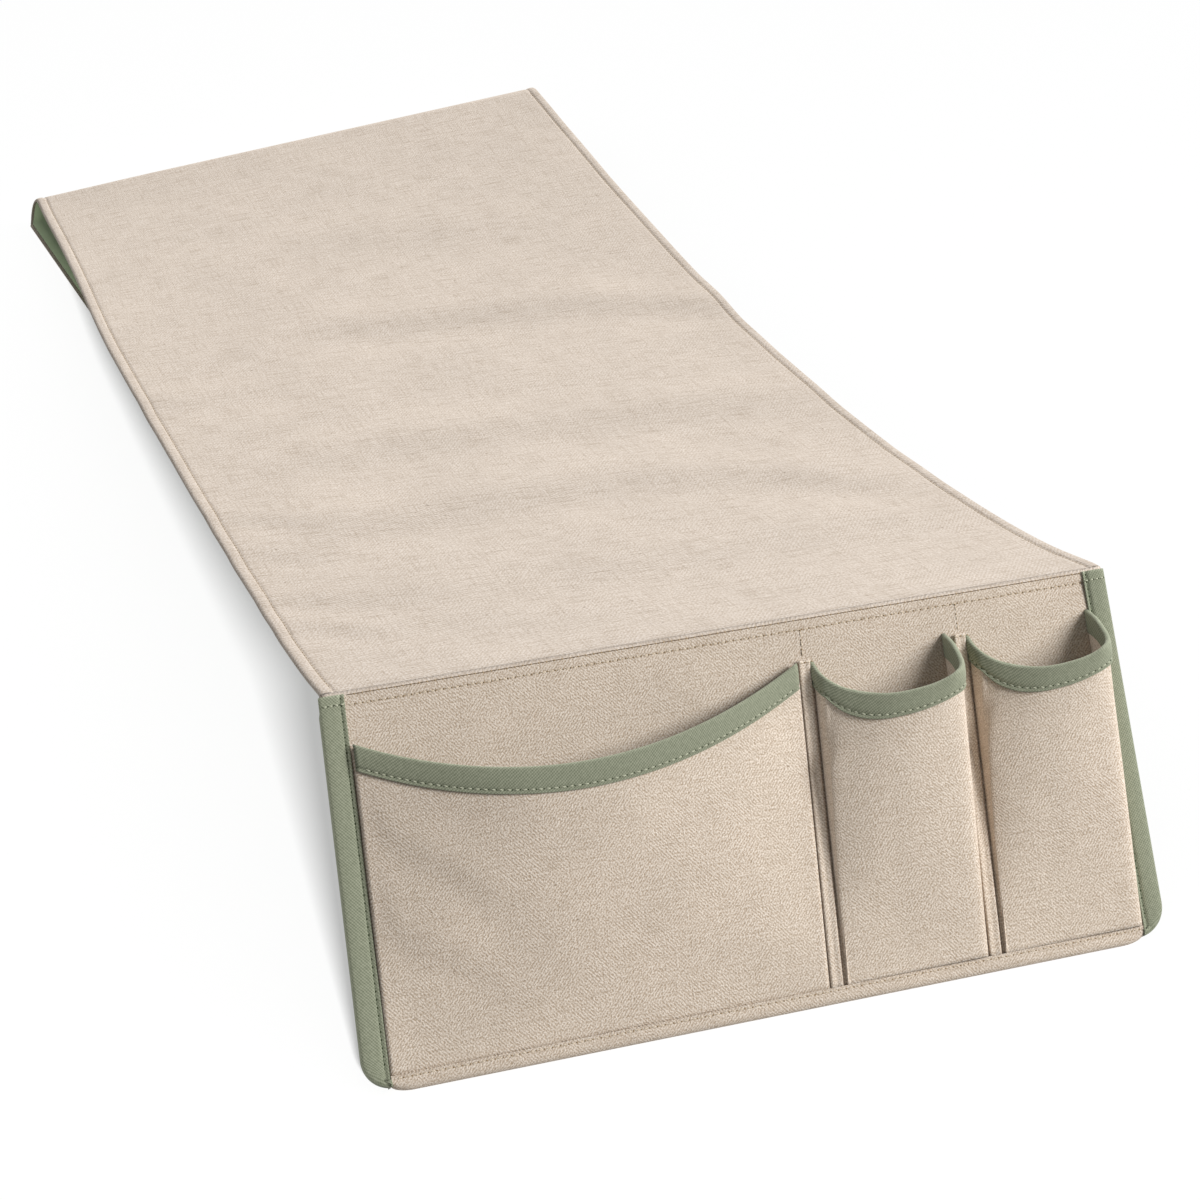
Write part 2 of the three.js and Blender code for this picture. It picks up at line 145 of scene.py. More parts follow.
def runner_point(u, v):
    rear = bend_centre(u)
    place = np.empty(u.shape + (3,))
    place[..., 0] = mix(ridge[0] + (u - 0.5) * WIDTH, rear[..., 0], v)
    place[..., 1] = mix(ridge[1] + RIDGE_GAP, rear[..., 1], v)
    top = ridge[2] + RIDGE_TOP
    sag = mix(SAG_LEFT, SAG_RIGHT, u)
    end_slope = 2 * rear[..., 2] - top + 4 * sag * (1 - SAG_TOWARDS_RIDGE)
    height = mix(top, 2 * rear[..., 2], v)
    height -= sag * 4 * v * (1 - v) * (1 + SAG_TOWARDS_RIDGE * (1 - 2 * v))
    height -= end_slope * (v - 1) * v ** LEVELLING
    along = v * RUN
    draw = REAR_DRAW * smooth(v, *REAR_DRAW_SPAN) + FRONT_DRAW * np.exp(-along / FRONT_DRAW_LENGTH)
    place[..., 0] += draw * (1 - smooth(u, 0, DRAWN_SHARE))
    still = smooth(along, 0, RIPPLE_FREE) * (1 - smooth(along, RIPPLE_END * RUN, RUN))
    height += ripple_height(u, along) * still
    height += CREST_HEIGHT * along / CREST_BACK * np.exp(1 - along / CREST_BACK)
    height -= RIDGE_DIP * (1 - np.exp(-along / RIDGE_DIP_LENGTH)) * (1 - v)
    place[..., 2] = height
    return place


def bend_point(u, v):
    place = bend_centre(u)
    radius = place[..., 2].copy()
    place[..., 1] += radius * np.sin(math.pi * v)
    place[..., 2] += radius * np.cos(math.pi * v)
    place[..., 0] += REAR_DRAW * (1 - v) * (1 - smooth(u, 0, DRAWN_SHARE))
    return place


def tail_point(u, v):
    rear = bend_centre(u)
    rear[..., 2] = 0
    forward = np.array([math.sin(TAIL_TURN), -math.cos(TAIL_TURN), 0])
    across = np.array([math.cos(TAIL_TURN), math.sin(TAIL_TURN), 0])
    end = np.array([bend[0], bend[1], 0]) + TAIL_LENGTH * forward
    end = end + (u - 0.5)[..., None] * WIDTH * across
    return mix(rear, end, v[..., None])


def normals_of(place):
    across = np.gradient(place, axis=1)
    along = np.gradient(place, axis=0)
    normal = np.cross(across, along)
    return normal / np.linalg.norm(normal, axis=-1, keepdims=True)


def edge_profile(x):
    inset = np.minimum(x, WIDTH - x)
    short = np.clip(EDGE_ROUND - inset, 0, EDGE_ROUND)
    drop = EDGE_ROUND - np.sqrt(EDGE_ROUND ** 2 - short ** 2)
    puff = EDGE_PUFF * np.sin(math.pi * np.clip(inset / EDGE_BAND, 0, 1))
    groove = STITCH_GROOVE * np.exp(-((inset - EDGE_BAND) / GROOVE_HALF_WIDTH) ** 2)
    return puff - drop - groove


def cloth_grid(name, place, flat, thickness, material):
    """Adds a grid, moves its points to their place, keeps the flat cloth's metres as UVs and thickens it."""
    rows, columns = place.shape[:2]
    bpy.ops.object.select_all(action="DESELECT")
    bpy.ops.mesh.primitive_grid_add(x_subdivisions=columns - 1, y_subdivisions=rows - 1, size=1)
    cloth = bpy.context.object
    cloth.name = name
    mesh = cloth.data
    start = np.empty(len(mesh.vertices) * 3)
    mesh.vertices.foreach_get("co", start)
    start = start.reshape(-1, 3)
    column = np.rint((start[:, 0] + 0.5) * (columns - 1)).astype(int)
    row = np.rint((start[:, 1] + 0.5) * (rows - 1)).astype(int)
    mesh.vertices.foreach_set("co", place[row, column].ravel())
    corners = np.empty(len(mesh.loops), dtype=np.int32)
    mesh.loops.foreach_get("vertex_index", corners)
    uv = flat[row, column][corners].astype(np.float32)
    mesh.uv_layers.active.uv.foreach_set("vector", uv.ravel())
    mesh.update()
    bpy.ops.object.shade_smooth()
    solidify = cloth.modifiers.new("thickness", "SOLIDIFY")
    solidify.thickness = thickness
    solidify.offset = -1
    bpy.ops.object.modifier_apply(modifier=solidify.name)
    cloth.data.materials.append(material)
    return cloth


front_rows = np.array([0, 0.3, 0.6, 1.0, 1.4, 1.8, 2.4, 3.4, 5]) * MM / RUN
runner_rows = np.concatenate((front_rows, np.linspace(front_rows[-1], 1, 236)[1:]))
bend_rows = np.linspace(0, 1, 25)[1:]
tail_rows = np.linspace(0, 1, 12)[1:]


def strip_place(x):
    """Base face of the whole strip, and its flat places, for columns at x from the left edge."""
    u = x / WIDTH
    parts = []
    lengths = []
    radius = bend_centre(u)[:, 2]
    reach = np.zeros_like(u)
    for rows, face, length in (
        (runner_rows, runner_point, np.full_like(u, RUN)),
        (bend_rows, bend_point, math.pi * radius),
        (tail_rows, tail_point, np.full_like(u, TAIL_LENGTH)),
    ):
        across, along = np.meshgrid(u, rows)
        parts.append(face(across, along))
        lengths.append(reach + along * length)
        reach = reach + length
    flat = np.stack(np.broadcast_arrays(x[None, :], np.concatenate(lengths)), axis=-1)
    return np.concatenate(parts), flat


def linear(hex_colour):
    channels = [int(hex_colour[k:k + 2], 16) / 255 for k in (1, 3, 5)]
    toned = [c / 12.92 if c <= 0.04045 else ((c + 0.055) / 1.055) ** 2.4 for c in channels]
    return (*toned, 1)


def set_inputs(tree, node, inputs):
    """Gives each input its value, or links it to a socket or to a node's first output."""
    for name, value in inputs.items():
        if isinstance(value, bpy.types.Node):
            value = value.outputs[0]
        if isinstance(value, bpy.types.NodeSocket):
            tree.links.new(value, node.inputs[name])
        else:
            node.inputs[name].default_value = value


def add_node(tree, kind, inputs, **settings):
    node = tree.nodes.new("ShaderNode" + kind)
    for name, value in settings.items():
        setattr(node, name, value)
    set_inputs(tree, node, inputs)
    return node


def start_material(name):
    material = bpy.data.materials.new(name)
    material.use_nodes = True
    tree = material.node_tree
    return material, tree, tree.nodes["Principled BSDF"]


# Slubbed linen, woven from uneven yarn and washed: a fine broken twill grain
# with thin darker slubs both ways and a few brown flecks. The real yarn is
# about 0.6 mm, too fine to show, so the grain is drawn at 1.05 mm, and coarser
# still across and along the runner, which is seen at a slant.
GRAIN_PITCH = 1.05
GRAIN_TURN = 0.72
CREPE_SIZE = 0.75
CREPE_SHARE = 0.66
SLUB_LENGTH = 13
SLUB_THICKNESS = 0.6
SLUB_SHADE = "#98836a"
FLECK_LENGTH = 1.9
FLECK_THICKNESS = 1.1
FLECK_SHADE = "#7c6650"
PATCH_SIZE = 22
MOTTLE_SIZE = 38


def linen_material(name, pale, deep, contrast, slubbing, coarser_across=1, coarser_along=1):
    material, tree, shader = start_material(name)
    flat = tree.nodes.new("ShaderNodeUVMap")
    drawn = (1 / (MM * coarser_across), 1 / (MM * coarser_along), 1)
    mm = add_node(tree, "Mapping", {"Vector": flat, "Scale": drawn})
    wave = {"Scale": math.pi / (10 * GRAIN_PITCH), "Distortion": 4.6, "Detail": 2.0, "Detail Scale": 2.8}
    grains = []
    for turn in (GRAIN_TURN, -GRAIN_TURN):
        turned = add_node(tree, "Mapping", {"Vector": mm, "Rotation": (0, 0, turn)})
        grains.append(add_node(tree, "TexWave", {"Vector": turned, **wave}).outputs["Fac"])
    patch = add_node(tree, "TexNoise", {"Vector": mm, "Scale": 1 / PATCH_SIZE, "Detail": 2.0})
    side = add_node(tree, "MapRange", {"Value": patch, "From Min": 0.44, "From Max": 0.56})
    grain = add_node(tree, "Mix", {0: side, 2: grains[0], 3: grains[1]})
    crepe_noise = add_node(tree, "TexNoise", {"Vector": mm, "Scale": 1 / CREPE_SIZE, "Detail": 3.0})
    crepe = add_node(tree, "MapRange", {"Value": crepe_noise, "From Min": 0.28, "From Max": 0.72})
    weave = add_node(tree, "Mix", {0: CREPE_SHARE, 2: grain, 3: crepe})
    mottle = add_node(tree, "TexNoise", {"Vector": mm, "Scale": 1 / MOTTLE_SIZE, "Detail": 4.0})
    range_of_weave = {"From Min": 0.24, "From Max": 0.72, "To Min": contrast, "To Max": 0.0}
    ground = add_node(tree, "MapRange", {"Value": weave, **range_of_weave})
    shades = {0: ground, 6: linear(pale), 7: linear(deep)}
    ground_colour = add_node(tree, "Mix", shades, data_type="RGBA").outputs[2]
    range_of_mottle = {"From Min": 0.3, "From Max": 0.7, "To Min": 0.96, "To Max": 1.03}
    mottled = add_node(tree, "MapRange", {"Value": mottle, **range_of_mottle})
    toned = add_node(tree, "VectorMath", {0: ground_colour, "Scale": mottled}, operation="SCALE")
    colour = toned.outputs[0]
    for lengths, detail, least, strength, shade in (
        ((SLUB_LENGTH, SLUB_THICKNESS, 1), 2.0, 0.48, slubbing, SLUB_SHADE),
        ((SLUB_THICKNESS, SLUB_LENGTH, 1), 2.0, 0.48, 0.6 * slubbing, SLUB_SHADE),
        ((FLECK_LENGTH, FLECK_THICKNESS, 1), 1.0, 0.69, 0.55, FLECK_SHADE),
    ):
        stretched = add_node(tree, "Mapping", {"Vector": mm, "Scale": [1 / length for length in lengths]})
        streak = add_node(tree, "TexNoise", {"Vector": stretched, "Scale": 1.0, "Detail": detail})
        strong = {"Value": streak, "From Min": least, "From Max": 0.8, "To Max": strength}
        mask = add_node(tree, "MapRange", strong)
        layer = add_node(tree, "Mix", {0: mask, 6: colour, 7: linear(shade)}, data_type="RGBA")
        colour = layer.outputs[2]
    rough = add_node(tree, "MapRange", {"Value": weave, "To Min": 0.97, "To Max": 0.86})
    bump = add_node(tree, "Bump", {"Height": weave, "Strength": 0.6, "Distance": 0.3 * MM})
    surface = {"Base Color": colour, "Roughness": rough, "Normal": bump, "Specular IOR Level": 0.2}
    set_inputs(tree, shader, {**surface, "Sheen Weight": 0.08, "Sheen Roughness": 0.5})
    return material


runner_cloth = linen_material(
    "slubbed linen", "#e9ddd1", "#bdaa95", contrast=0.6, slubbing=0.5, coarser_across=1.3, coarser_along=1.8
)

COLUMN_STEP = 2.9 * MM
BAND_COLUMNS = (0, 0.12, 0.35, 0.7, 1.1, 1.5, 2.2, 3.2, 4.1, 4.7, 5.1, 5.5, 5.9, 6.3, 7.0, 8.2, 10)
band = np.array(BAND_COLUMNS) * MM
field_count = int((WIDTH - 2 * band[-1]) / COLUMN_STEP)
field = np.linspace(band[-1], WIDTH - band[-1], field_count + 1)[1:-1]
strip_columns = np.concatenate((band, field, WIDTH - band[::-1]))
strip_face, strip_flat = strip_place(strip_columns)
strip_normal = normals_of(strip_face)
pressed = np.concatenate((np.ones(len(runner_rows)), 1 - bend_rows, np.zeros(len(tail_rows))))
strip_rise = edge_profile(strip_columns)[None, :] * pressed[:, None]
linen_face = strip_face + strip_normal * strip_rise[..., None]

runner_linen = cloth_grid("runner_linen", linen_face, strip_flat, LINEN_THICKNESS, runner_cloth)
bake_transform(runner_linen)
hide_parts("runner_cover", "rear_fold_cover", "tail_cover")

# Runner lining: a plain-woven sage green cotton under the linen, sewn to it
# along both sides and seen only where the tail is turned up and from below.
LINING_DROP = 1.3 * MM
LINING_THICKNESS = 0.6 * MM
LINING_INSET = 1.6 * MM

# Plain-woven cotton: an even crossing of warp and weft, dull and soft. The
# real threads are 0.4 mm apart and are drawn at 0.9 mm so that they show.
COTTON_PITCH = 0.9
COTTON_TINT_SIZE = 12


def weave_look(tree, shader, weave, pale, deep, rough, strength, depth, gloss):
    """Colour from deep to pale, roughness and bump that follow a weave, and the surface's gloss."""
    shades = {0: weave, 6: linear(deep), 7: linear(pale)}
    colour = add_node(tree, "Mix", shades, data_type="RGBA").outputs[2]
    roughness = add_node(tree, "MapRange", {"Value": weave, "To Min": rough[0], "To Max": rough[1]})
    bump = add_node(tree, "Bump", {"Height": weave, "Strength": strength, "Distance": depth})
    surface = {"Base Color": colour, "Roughness": roughness, "Normal": bump}
    set_inputs(tree, shader, {**surface, **gloss})


def cotton_material(name, pale, deep):
    material, tree, shader = start_material(name)
    flat = tree.nodes.new("ShaderNodeUVMap")
    mm = add_node(tree, "VectorMath", {0: flat, "Scale": 1 / MM}, operation="SCALE")
    wave = {"Vector": mm, "Scale": math.pi / (10 * COTTON_PITCH), "Distortion": 1.2, "Detail": 1.0}
    warp = add_node(tree, "TexWave", wave, bands_direction="X").outputs["Fac"]
    weft = add_node(tree, "TexWave", wave, bands_direction="Y").outputs["Fac"]
    crossing = add_node(tree, "Math", {0: warp, 1: weft}, operation="MULTIPLY")
    tint = add_node(tree, "TexNoise", {"Vector": mm, "Scale": 1 / COTTON_TINT_SIZE, "Detail": 4.0})
    weave = add_node(tree, "Mix", {0: 0.4, 2: crossing, 3: tint})
    gloss = {"Specular IOR Level": 0.2, "Sheen Weight": 0.1}
    weave_look(tree, shader, weave, pale, deep, (0.95, 0.82), 0.5, 0.15 * MM, gloss)
    return material


lining_cloth = cotton_material("sage plain-woven cotton", "#9caa8b", "#7c8b6c")

lining_columns = np.linspace(LINING_INSET, WIDTH - LINING_INSET, 60)
lining_face, lining_flat = strip_place(lining_columns)
lining_face = lining_face - normals_of(lining_face) * LINING_DROP
runner_lining = cloth_grid("runner_lining_cotton", lining_face, lining_flat, LINING_THICKNESS, lining_cloth)
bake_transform(runner_lining)
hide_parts("runner_lining", "rear_fold_lining", "tail_lining")

# Topstitching of the runner: linen-coloured thread, one stitch each 3.2 mm,
# sunk in the groove 5.5 mm in from each side.
STITCH_PITCH = 3.2 * MM
STITCH_LENGTH = 2.3 * MM
STITCH_RADIUS = 0.26 * MM
STITCH_LIFT = 0.12 * MM

# Spun polyester sewing thread: two plies twisted, so each stitch shows a pale
# slanting twist. The real twist is 0.3 mm and is drawn at 0.5 mm.
THREAD_TWIST = 0.5


def thread_material(name, pale, deep):
    material, tree, shader = start_material(name)
    place = tree.nodes.new("ShaderNodeTexCoord").outputs["Object"]
    mm = add_node(tree, "VectorMath", {0: place, "Scale": 1 / MM}, operation="SCALE")
    wave = {"Vector": mm, "Scale": math.pi / (10 * THREAD_TWIST), "Distortion": 1.0}
    twist = add_node(tree, "TexWave", wave, bands_direction="DIAGONAL").outputs["Fac"]
    gloss = {"Specular IOR Level": 0.3}
    weave_look(tree, shader, twist, pale, deep, (0.75, 0.6), 0.4, 0.08 * MM, gloss)
    return material


linen_thread = thread_material("linen-coloured sewing thread", "#dfd3c0", "#bcab92")

# Needle hole: where the thread goes down, a small flat dark mark of painted
# shade stands for the shaded pit that the cloth is drawn into. The marks are
# 0.8 mm long, about as long as the pits show in real cloth.
HOLE_LENGTH = 0.8 * MM
HOLE_WIDTH = 0.75 * MM
HOLE_HEIGHT = 0.12 * MM
HOLE_SHADE_FIBRE = 2 / 3


def fibre_look(tree, shader, mm, fibre, detail, pale, deep, relief, specular):
    """Loose fibre: clumps from deep to pale that are fully rough, with a bump of them."""
    fibres = add_node(tree, "TexNoise", {"Vector": mm, "Scale": 1 / fibre, "Detail": detail})
    shades = {0: fibres, 6: linear(deep), 7: linear(pale)}
    colour = add_node(tree, "Mix", shades, data_type="RGBA").outputs[2]
    bump = add_node(tree, "Bump", {"Height": fibres, **relief})
    surface = {"Base Color": colour, "Roughness": 1.0, "Normal": bump, "Specular IOR Level": specular}
    set_inputs(tree, shader, surface)


# Dark fibre for the needle holes' marks: painted shade of the pits.
def hole_shade_material(name, pale, deep):
    material, tree, shader = start_material(name)
    place = tree.nodes.new("ShaderNodeTexCoord").outputs["Object"]
    mm = add_node(tree, "VectorMath", {0: place, "Scale": 1 / MM}, operation="SCALE")
    fibre_look(tree, shader, mm, HOLE_SHADE_FIBRE, 2.0, pale, deep, {"Distance": 0.1 * MM}, 0.0)
    return material


# Painted shade for the needle holes in the linen.
linen_hole_shade = hole_shade_material("painted shade in linen needle holes", "#b29c7e", "#8b775c")


def reach_along(places, axis):
    """Length run along one axis of a path or a grid of points, from its first ones."""
    steps = np.diff(places, axis=axis, prepend=np.take(places, [0], axis=axis))
    return np.cumsum(np.linalg.norm(steps, axis=-1), axis=axis)


def resample(path, normals, pitch):
    reach = reach_along(path, 0)
    count = max(2, int(reach[-1] / pitch))
    spots = (np.arange(count) + 0.5) * reach[-1] / count

    def at(values, where):
        return np.stack([np.interp(where, reach, values[:, k]) for k in range(3)], axis=-1)

    direction = at(path, spots + 0.3 * pitch) - at(path, spots - 0.3 * pitch)
    return at(path, spots), direction, at(normals, spots)


def sew(
    name,
    seams,
    thread,
    shade_mark,
    body,
    pitch=STITCH_PITCH,
    length=STITCH_LENGTH,
    radius=STITCH_RADIUS,
    hole=HOLE_LENGTH,
):
    """Sews stitches along seams, each a path with its normals, with painted shade at each needle hole, as
    one piece that rides on a body.
    """
    bpy.ops.object.select_all(action="DESELECT")
    bpy.ops.mesh.primitive_uv_sphere_add(segments=6, ring_count=4, radius=1)
    piece = bpy.context.object
    piece.name = name
    mesh = piece.data
    shape = np.empty(len(mesh.vertices) * 3)
    mesh.vertices.foreach_get("co", shape)
    shape = shape.reshape(-1, 3)
    faces = [list(face.vertices) for face in mesh.polygons]
    lengthwise = np.sign(shape[:, 2]) * np.abs(shape[:, 2]) ** 0.6
    sink = radius * lengthwise ** 2
    points = []
    polygons = []
    finishes = []
    for path, normals in seams:
        for spot, direction, up in zip(*resample(path, normals, pitch)):
            direction = direction / np.linalg.norm(direction)
            side = np.cross(direction, up)
            side = side / np.linalg.norm(side)
            up = np.cross(side, direction)
            stitch = (
                np.outer(lengthwise * length / 2, direction)
                + np.outer(shape[:, 0] * radius, side)
                + np.outer(shape[:, 1] * radius - sink, up)
            )
            # A flat dark mark between stitches: painted shade of the needle hole.
            painted_hole_shade = (
                np.outer(shape[:, 2] * hole / 2 + pitch / 2, direction)
                + np.outer(shape[:, 0] * HOLE_WIDTH / 2, side)
                + np.outer(shape[:, 1] * HOLE_HEIGHT, up)
            )
            for finish, made in enumerate((stitch, painted_hole_shade)):
                first = len(points) * len(shape)
                points.append(spot + made)
                polygons.extend([[first + corner for corner in face] for face in faces])
                finishes.extend([finish] * len(faces))
    mesh.clear_geometry()
    mesh.from_pydata(np.concatenate(points).tolist(), [], polygons)
    mesh.update()
    mesh.materials.append(thread)
    mesh.materials.append(shade_mark)
    mesh.polygons.foreach_set("material_index", finishes)
    bpy.ops.object.mode_set(mode="EDIT")
    bpy.ops.mesh.select_all(action="SELECT")
    bpy.ops.mesh.normals_make_consistent(inside=False)
    bpy.ops.object.mode_set(mode="OBJECT")
    bpy.ops.object.shade_smooth()
    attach(piece, body)
    return piece


sewn = slice(len(front_rows) - 1, len(runner_rows) - 1)
groove_left = int(np.argmin(np.abs(strip_columns - EDGE_BAND)))
groove_right = len(strip_columns) - 1 - groove_left
runner_seams = []
for column in (groove_left, groove_right):
    path = linen_face[sewn, column] + strip_normal[sewn, column] * STITCH_LIFT
    runner_seams.append((path, strip_normal[sewn, column]))
runner_stitches = sew("runner_topstitching", runner_seams, linen_thread, linen_hole_shade, "runner")

# Panel backing: linen, the face of the pocket panel that shows above and in
# the pockets. It rolls over the ridge, where it is seamed to the runner, and
# a row of topstitching holds the seam flat.
PANEL_LENGTH = 152 * MM
PANEL_DRIFT = 11 * MM
PANEL_STACK = 3.3 * MM
BACKING_HALF = 163.9 * MM
BACKING_BOTTOM = 3.6 * MM
CORNER_RADIUS = 12 * MM
BINDING_LIFT = 2 * MM
RIDGE_ROLL = PANEL_STACK / 2
RIDGE_ROLL_TURN = math.radians(215)
RIDGE_STITCH_DROP = 4.3 * MM
RIDGE_SEAM_DROP = 0.4 * MM
RIDGE_BAND_PUFF = 0.25 * MM
RIDGE_GROOVE = 0.4 * MM
RIDGE_GROOVE_HALF = 0.7 * MM
RIDGE_BAND_BELOW = 2 * MM
RIDGE_BAND_FADE = 12 * MM
BACKING_INSET = 1.6 * MM
BACKING_UNEVENNESS = 0.25 * MM

mounts = {mount["name"]: mount for mount in frame["record"]["mounts"]}
panel_out = -np.array(mounts["panel_left_rest"]["axis"])
panel_up = np.array([0, panel_out[2], -panel_out[1]])
panel_across = np.array([1.0, 0, 0])
panel_cloth = linen_material("slubbed linen of the panel", "#e7dbcd", "#a68e73", contrast=0.76, slubbing=0.4)


def on_panel(a, b, c):
    """Place of a point a across from the middle, b up the slope from the bottom and c out of the linen."""
    up = np.asarray(b) - PANEL_LENGTH
    across = np.asarray(a) + PANEL_DRIFT / PANEL_LENGTH * up
    out = np.asarray(c) + PANEL_STACK / 2
    across, up, out = np.broadcast_arrays(across, up, out)
    return ridge + across[..., None] * panel_across + up[..., None] * panel_up + out[..., None] * panel_out


def corner_half(b):
    """Half the panel's width at a height, with its two rounded lower corners."""
    below = np.clip(CORNER_RADIUS + BINDING_LIFT - b, 0, CORNER_RADIUS)
    return WIDTH / 2 - CORNER_RADIUS + np.sqrt(CORNER_RADIUS ** 2 - below ** 2)


ridge_stitch = PANEL_LENGTH - RIDGE_STITCH_DROP
field_rows = np.linspace(BACKING_BOTTOM, ridge_stitch - RIDGE_BAND_BELOW, 50)
band_rows = np.linspace(ridge_stitch - RIDGE_BAND_BELOW, PANEL_LENGTH, 20)[1:]
roll_turns = np.linspace(0, RIDGE_ROLL_TURN, 18)[1:]
backing_rows = np.concatenate((field_rows, band_rows))
share, height = np.meshgrid(np.linspace(-1, 1, 121), backing_rows)
backing_a = share * np.minimum(BACKING_HALF, corner_half(height) - BACKING_INSET)
towards_ridge = np.clip((height - ridge_stitch) / RIDGE_STITCH_DROP, 0, 1)
backing_c = RIDGE_BAND_PUFF * np.sin(math.pi * towards_ridge)
backing_c -= RIDGE_GROOVE * np.exp(-((height - ridge_stitch) / RIDGE_GROOVE_HALF) ** 2)
below_band = 1 - smooth(height, ridge_stitch - RIDGE_BAND_FADE, ridge_stitch)
backing_c += BACKING_UNEVENNESS * unevenness(backing_a, height) * below_band
backing_face = on_panel(backing_a, height, backing_c)
share, turn = np.meshgrid(np.linspace(-1, 1, 121), roll_turns)
roll_face = on_panel(
    share * BACKING_HALF,
    PANEL_LENGTH + RIDGE_ROLL * np.sin(turn),
    RIDGE_ROLL * np.cos(turn) - PANEL_STACK / 2,
)
backing_flat = np.stack((backing_a, height), axis=-1)
roll_flat = np.stack((share * BACKING_HALF, PANEL_LENGTH + RIDGE_ROLL * turn), axis=-1)
panel_backing = cloth_grid(
    "panel_backing_linen",
    np.concatenate((backing_face, roll_face)),
    np.concatenate((backing_flat, roll_flat)),
    LINEN_THICKNESS,
    panel_cloth,
)
panel_backing.data.materials.append(runner_cloth)
centres = np.empty(len(panel_backing.data.polygons) * 3)
panel_backing.data.polygons.foreach_get("center", centres)
over_seam = (centres.reshape(-1, 3) - ridge) @ panel_up > -RIDGE_SEAM_DROP
panel_backing.data.polygons.foreach_set("material_index", over_seam.astype(np.int32))
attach(panel_backing, "panel")
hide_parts("pocket_panel")


def panel_seams(*paths):
    return [(path, np.broadcast_to(panel_out, path.shape)) for path in paths]


STITCH_STAND = 0.1 * MM
RIDGE_STITCH_SINK = 0.3 * MM
RIDGE_SEAM_STAND = 0.15 * MM
RIDGE_SEAM_STITCH = {"length": 3.6 * MM, "radius": 0.22 * MM}
RIDGE_SEAM_END = 154
path = on_panel(
    np.linspace(-RIDGE_SEAM_END, RIDGE_SEAM_END, 80) * MM, ridge_stitch, STITCH_STAND - RIDGE_STITCH_SINK
)
ridge_stitches = sew("ridge_topstitching", panel_seams(path), linen_thread, linen_hole_shade, "panel")
# Real seam stitches in dark brown thread, whose darkness is also painted shade for the seam's thin shaded
# line.
ridge_seam_shade_thread = thread_material("brown seam thread dark as painted seam shade", "#7a6650", "#54442f")
path = on_panel(
    np.linspace(-RIDGE_SEAM_END, RIDGE_SEAM_END, 90) * MM, PANEL_LENGTH - RIDGE_SEAM_DROP, RIDGE_SEAM_STAND
)
ridge_seam_shade_stitches = sew(
    "ridge_seam_stitching", panel_seams(path), ridge_seam_shade_thread, linen_hole_shade, "panel", **RIDGE_SEAM_STITCH
)

# Stiffening: a non-woven polyester felt between the panel's linen and its
# lining, cut short of the ridge and caught in the side seams. It never shows.
FELT_FRONT = -1.3 * MM
FELT_THICKNESS = 1.0 * MM
FELT_INSET = 0.4 * MM
LAYER_TOP = 147.5 * MM
LAYER_LIFT = 0.4 * MM
FELT_FIBRE = 0.8


def panel_layer(name, front, thickness, inset, material):
    rows = np.linspace(BACKING_BOTTOM + LAYER_LIFT, LAYER_TOP, 30)
    share, height = np.meshgrid(np.linspace(-1, 1, 61), rows)
    a = share * (np.minimum(BACKING_HALF, corner_half(height) - BACKING_INSET) - inset)
    flat = np.stack((a, height), axis=-1)
    return cloth_grid(name, on_panel(a, height, front), flat, thickness, material)


# Needle-punched felt: off-white and fuzzy, with no direction of its own, in
# clumps of fibre that are drawn at 0.8 mm.
felt, felt_tree, felt_shader = start_material("non-woven polyester felt")
felt_flat = felt_tree.nodes.new("ShaderNodeUVMap")
felt_mm = add_node(felt_tree, "VectorMath", {0: felt_flat, "Scale": 1 / MM}, operation="SCALE")
felt_relief = {"Strength": 0.6, "Distance": 0.2 * MM}
fibre_look(felt_tree, felt_shader, felt_mm, FELT_FIBRE, 5.0, "#efece4", "#d5d0c4", felt_relief, 0.1)

panel_felt = panel_layer("panel_stiffening_felt", FELT_FRONT, FELT_THICKNESS, FELT_INSET, felt)
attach(panel_felt, "panel")
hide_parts("panel_interlining")

# Panel lining: the same sage cotton as the runner's, the back of the panel
# that lies against the sofa arm.
PANEL_LINING_FRONT = -2.6 * MM
PANEL_LINING_INSET = 0.2 * MM
panel_lining = panel_layer(
    "panel_lining_cotton", PANEL_LINING_FRONT, LINING_THICKNESS, PANEL_LINING_INSET, lining_cloth
)
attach(panel_lining, "panel")
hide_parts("panel_lining")

# Divider strips: narrow linen strips with both edges turned under, 5 mm wide,
# sewn down over the seams between the pockets and tacked across the top.
DIVIDER_WIDTH = 5 * MM
DIVIDER_TOP = 135 * MM
POCKET_FOOT = 6.3 * MM
SEAM_LEAN = 7 * MM
DIVIDER_FEET = {"left": 21 * MM, "right": 88 * MM}
DIVIDER_BACK = 0.3 * MM
DIVIDER_FACE = 1.6 * MM
DIVIDER_UNDER = 2.2 * MM
DIVIDER_CLOTH = 0.4 * MM
DIVIDER_DIP = 0.3 * MM
DIVIDER_BAR_ENDS = (-0.5, 5.5)
DIVIDER_BAR_DROP = 1 * MM
DIVIDER_TACK_LIFT = 1 * MM


def seam_x(foot, height):
    return foot + SEAM_LEAN * height / DIVIDER_TOP


fold_radius = (DIVIDER_FACE - DIVIDER_BACK) / 2
fold_turns = np.linspace(0, math.pi, 9)
under_x = np.linspace(DIVIDER_UNDER, fold_radius, 5)
fold_x = fold_radius * (1 - np.sin(fold_turns[1:-1]))
fold_c = fold_radius * (1 - np.cos(fold_turns[1:-1]))
top_x = np.linspace(fold_radius, DIVIDER_WIDTH - fold_radius, 13)
top_c = 2 * fold_radius - DIVIDER_DIP * np.sin(math.pi * np.linspace(0, 1, 13)) ** 2
back_x = DIVIDER_WIDTH - np.concatenate((under_x, fold_x))[::-1]
strip_x = np.concatenate((under_x, fold_x, top_x, back_x))
strip_c = np.concatenate((np.zeros(5), fold_c, top_c, fold_c[::-1], np.zeros(5))) + DIVIDER_BACK
strip_reach = reach_along(np.stack((strip_x, strip_c), axis=-1), 0)

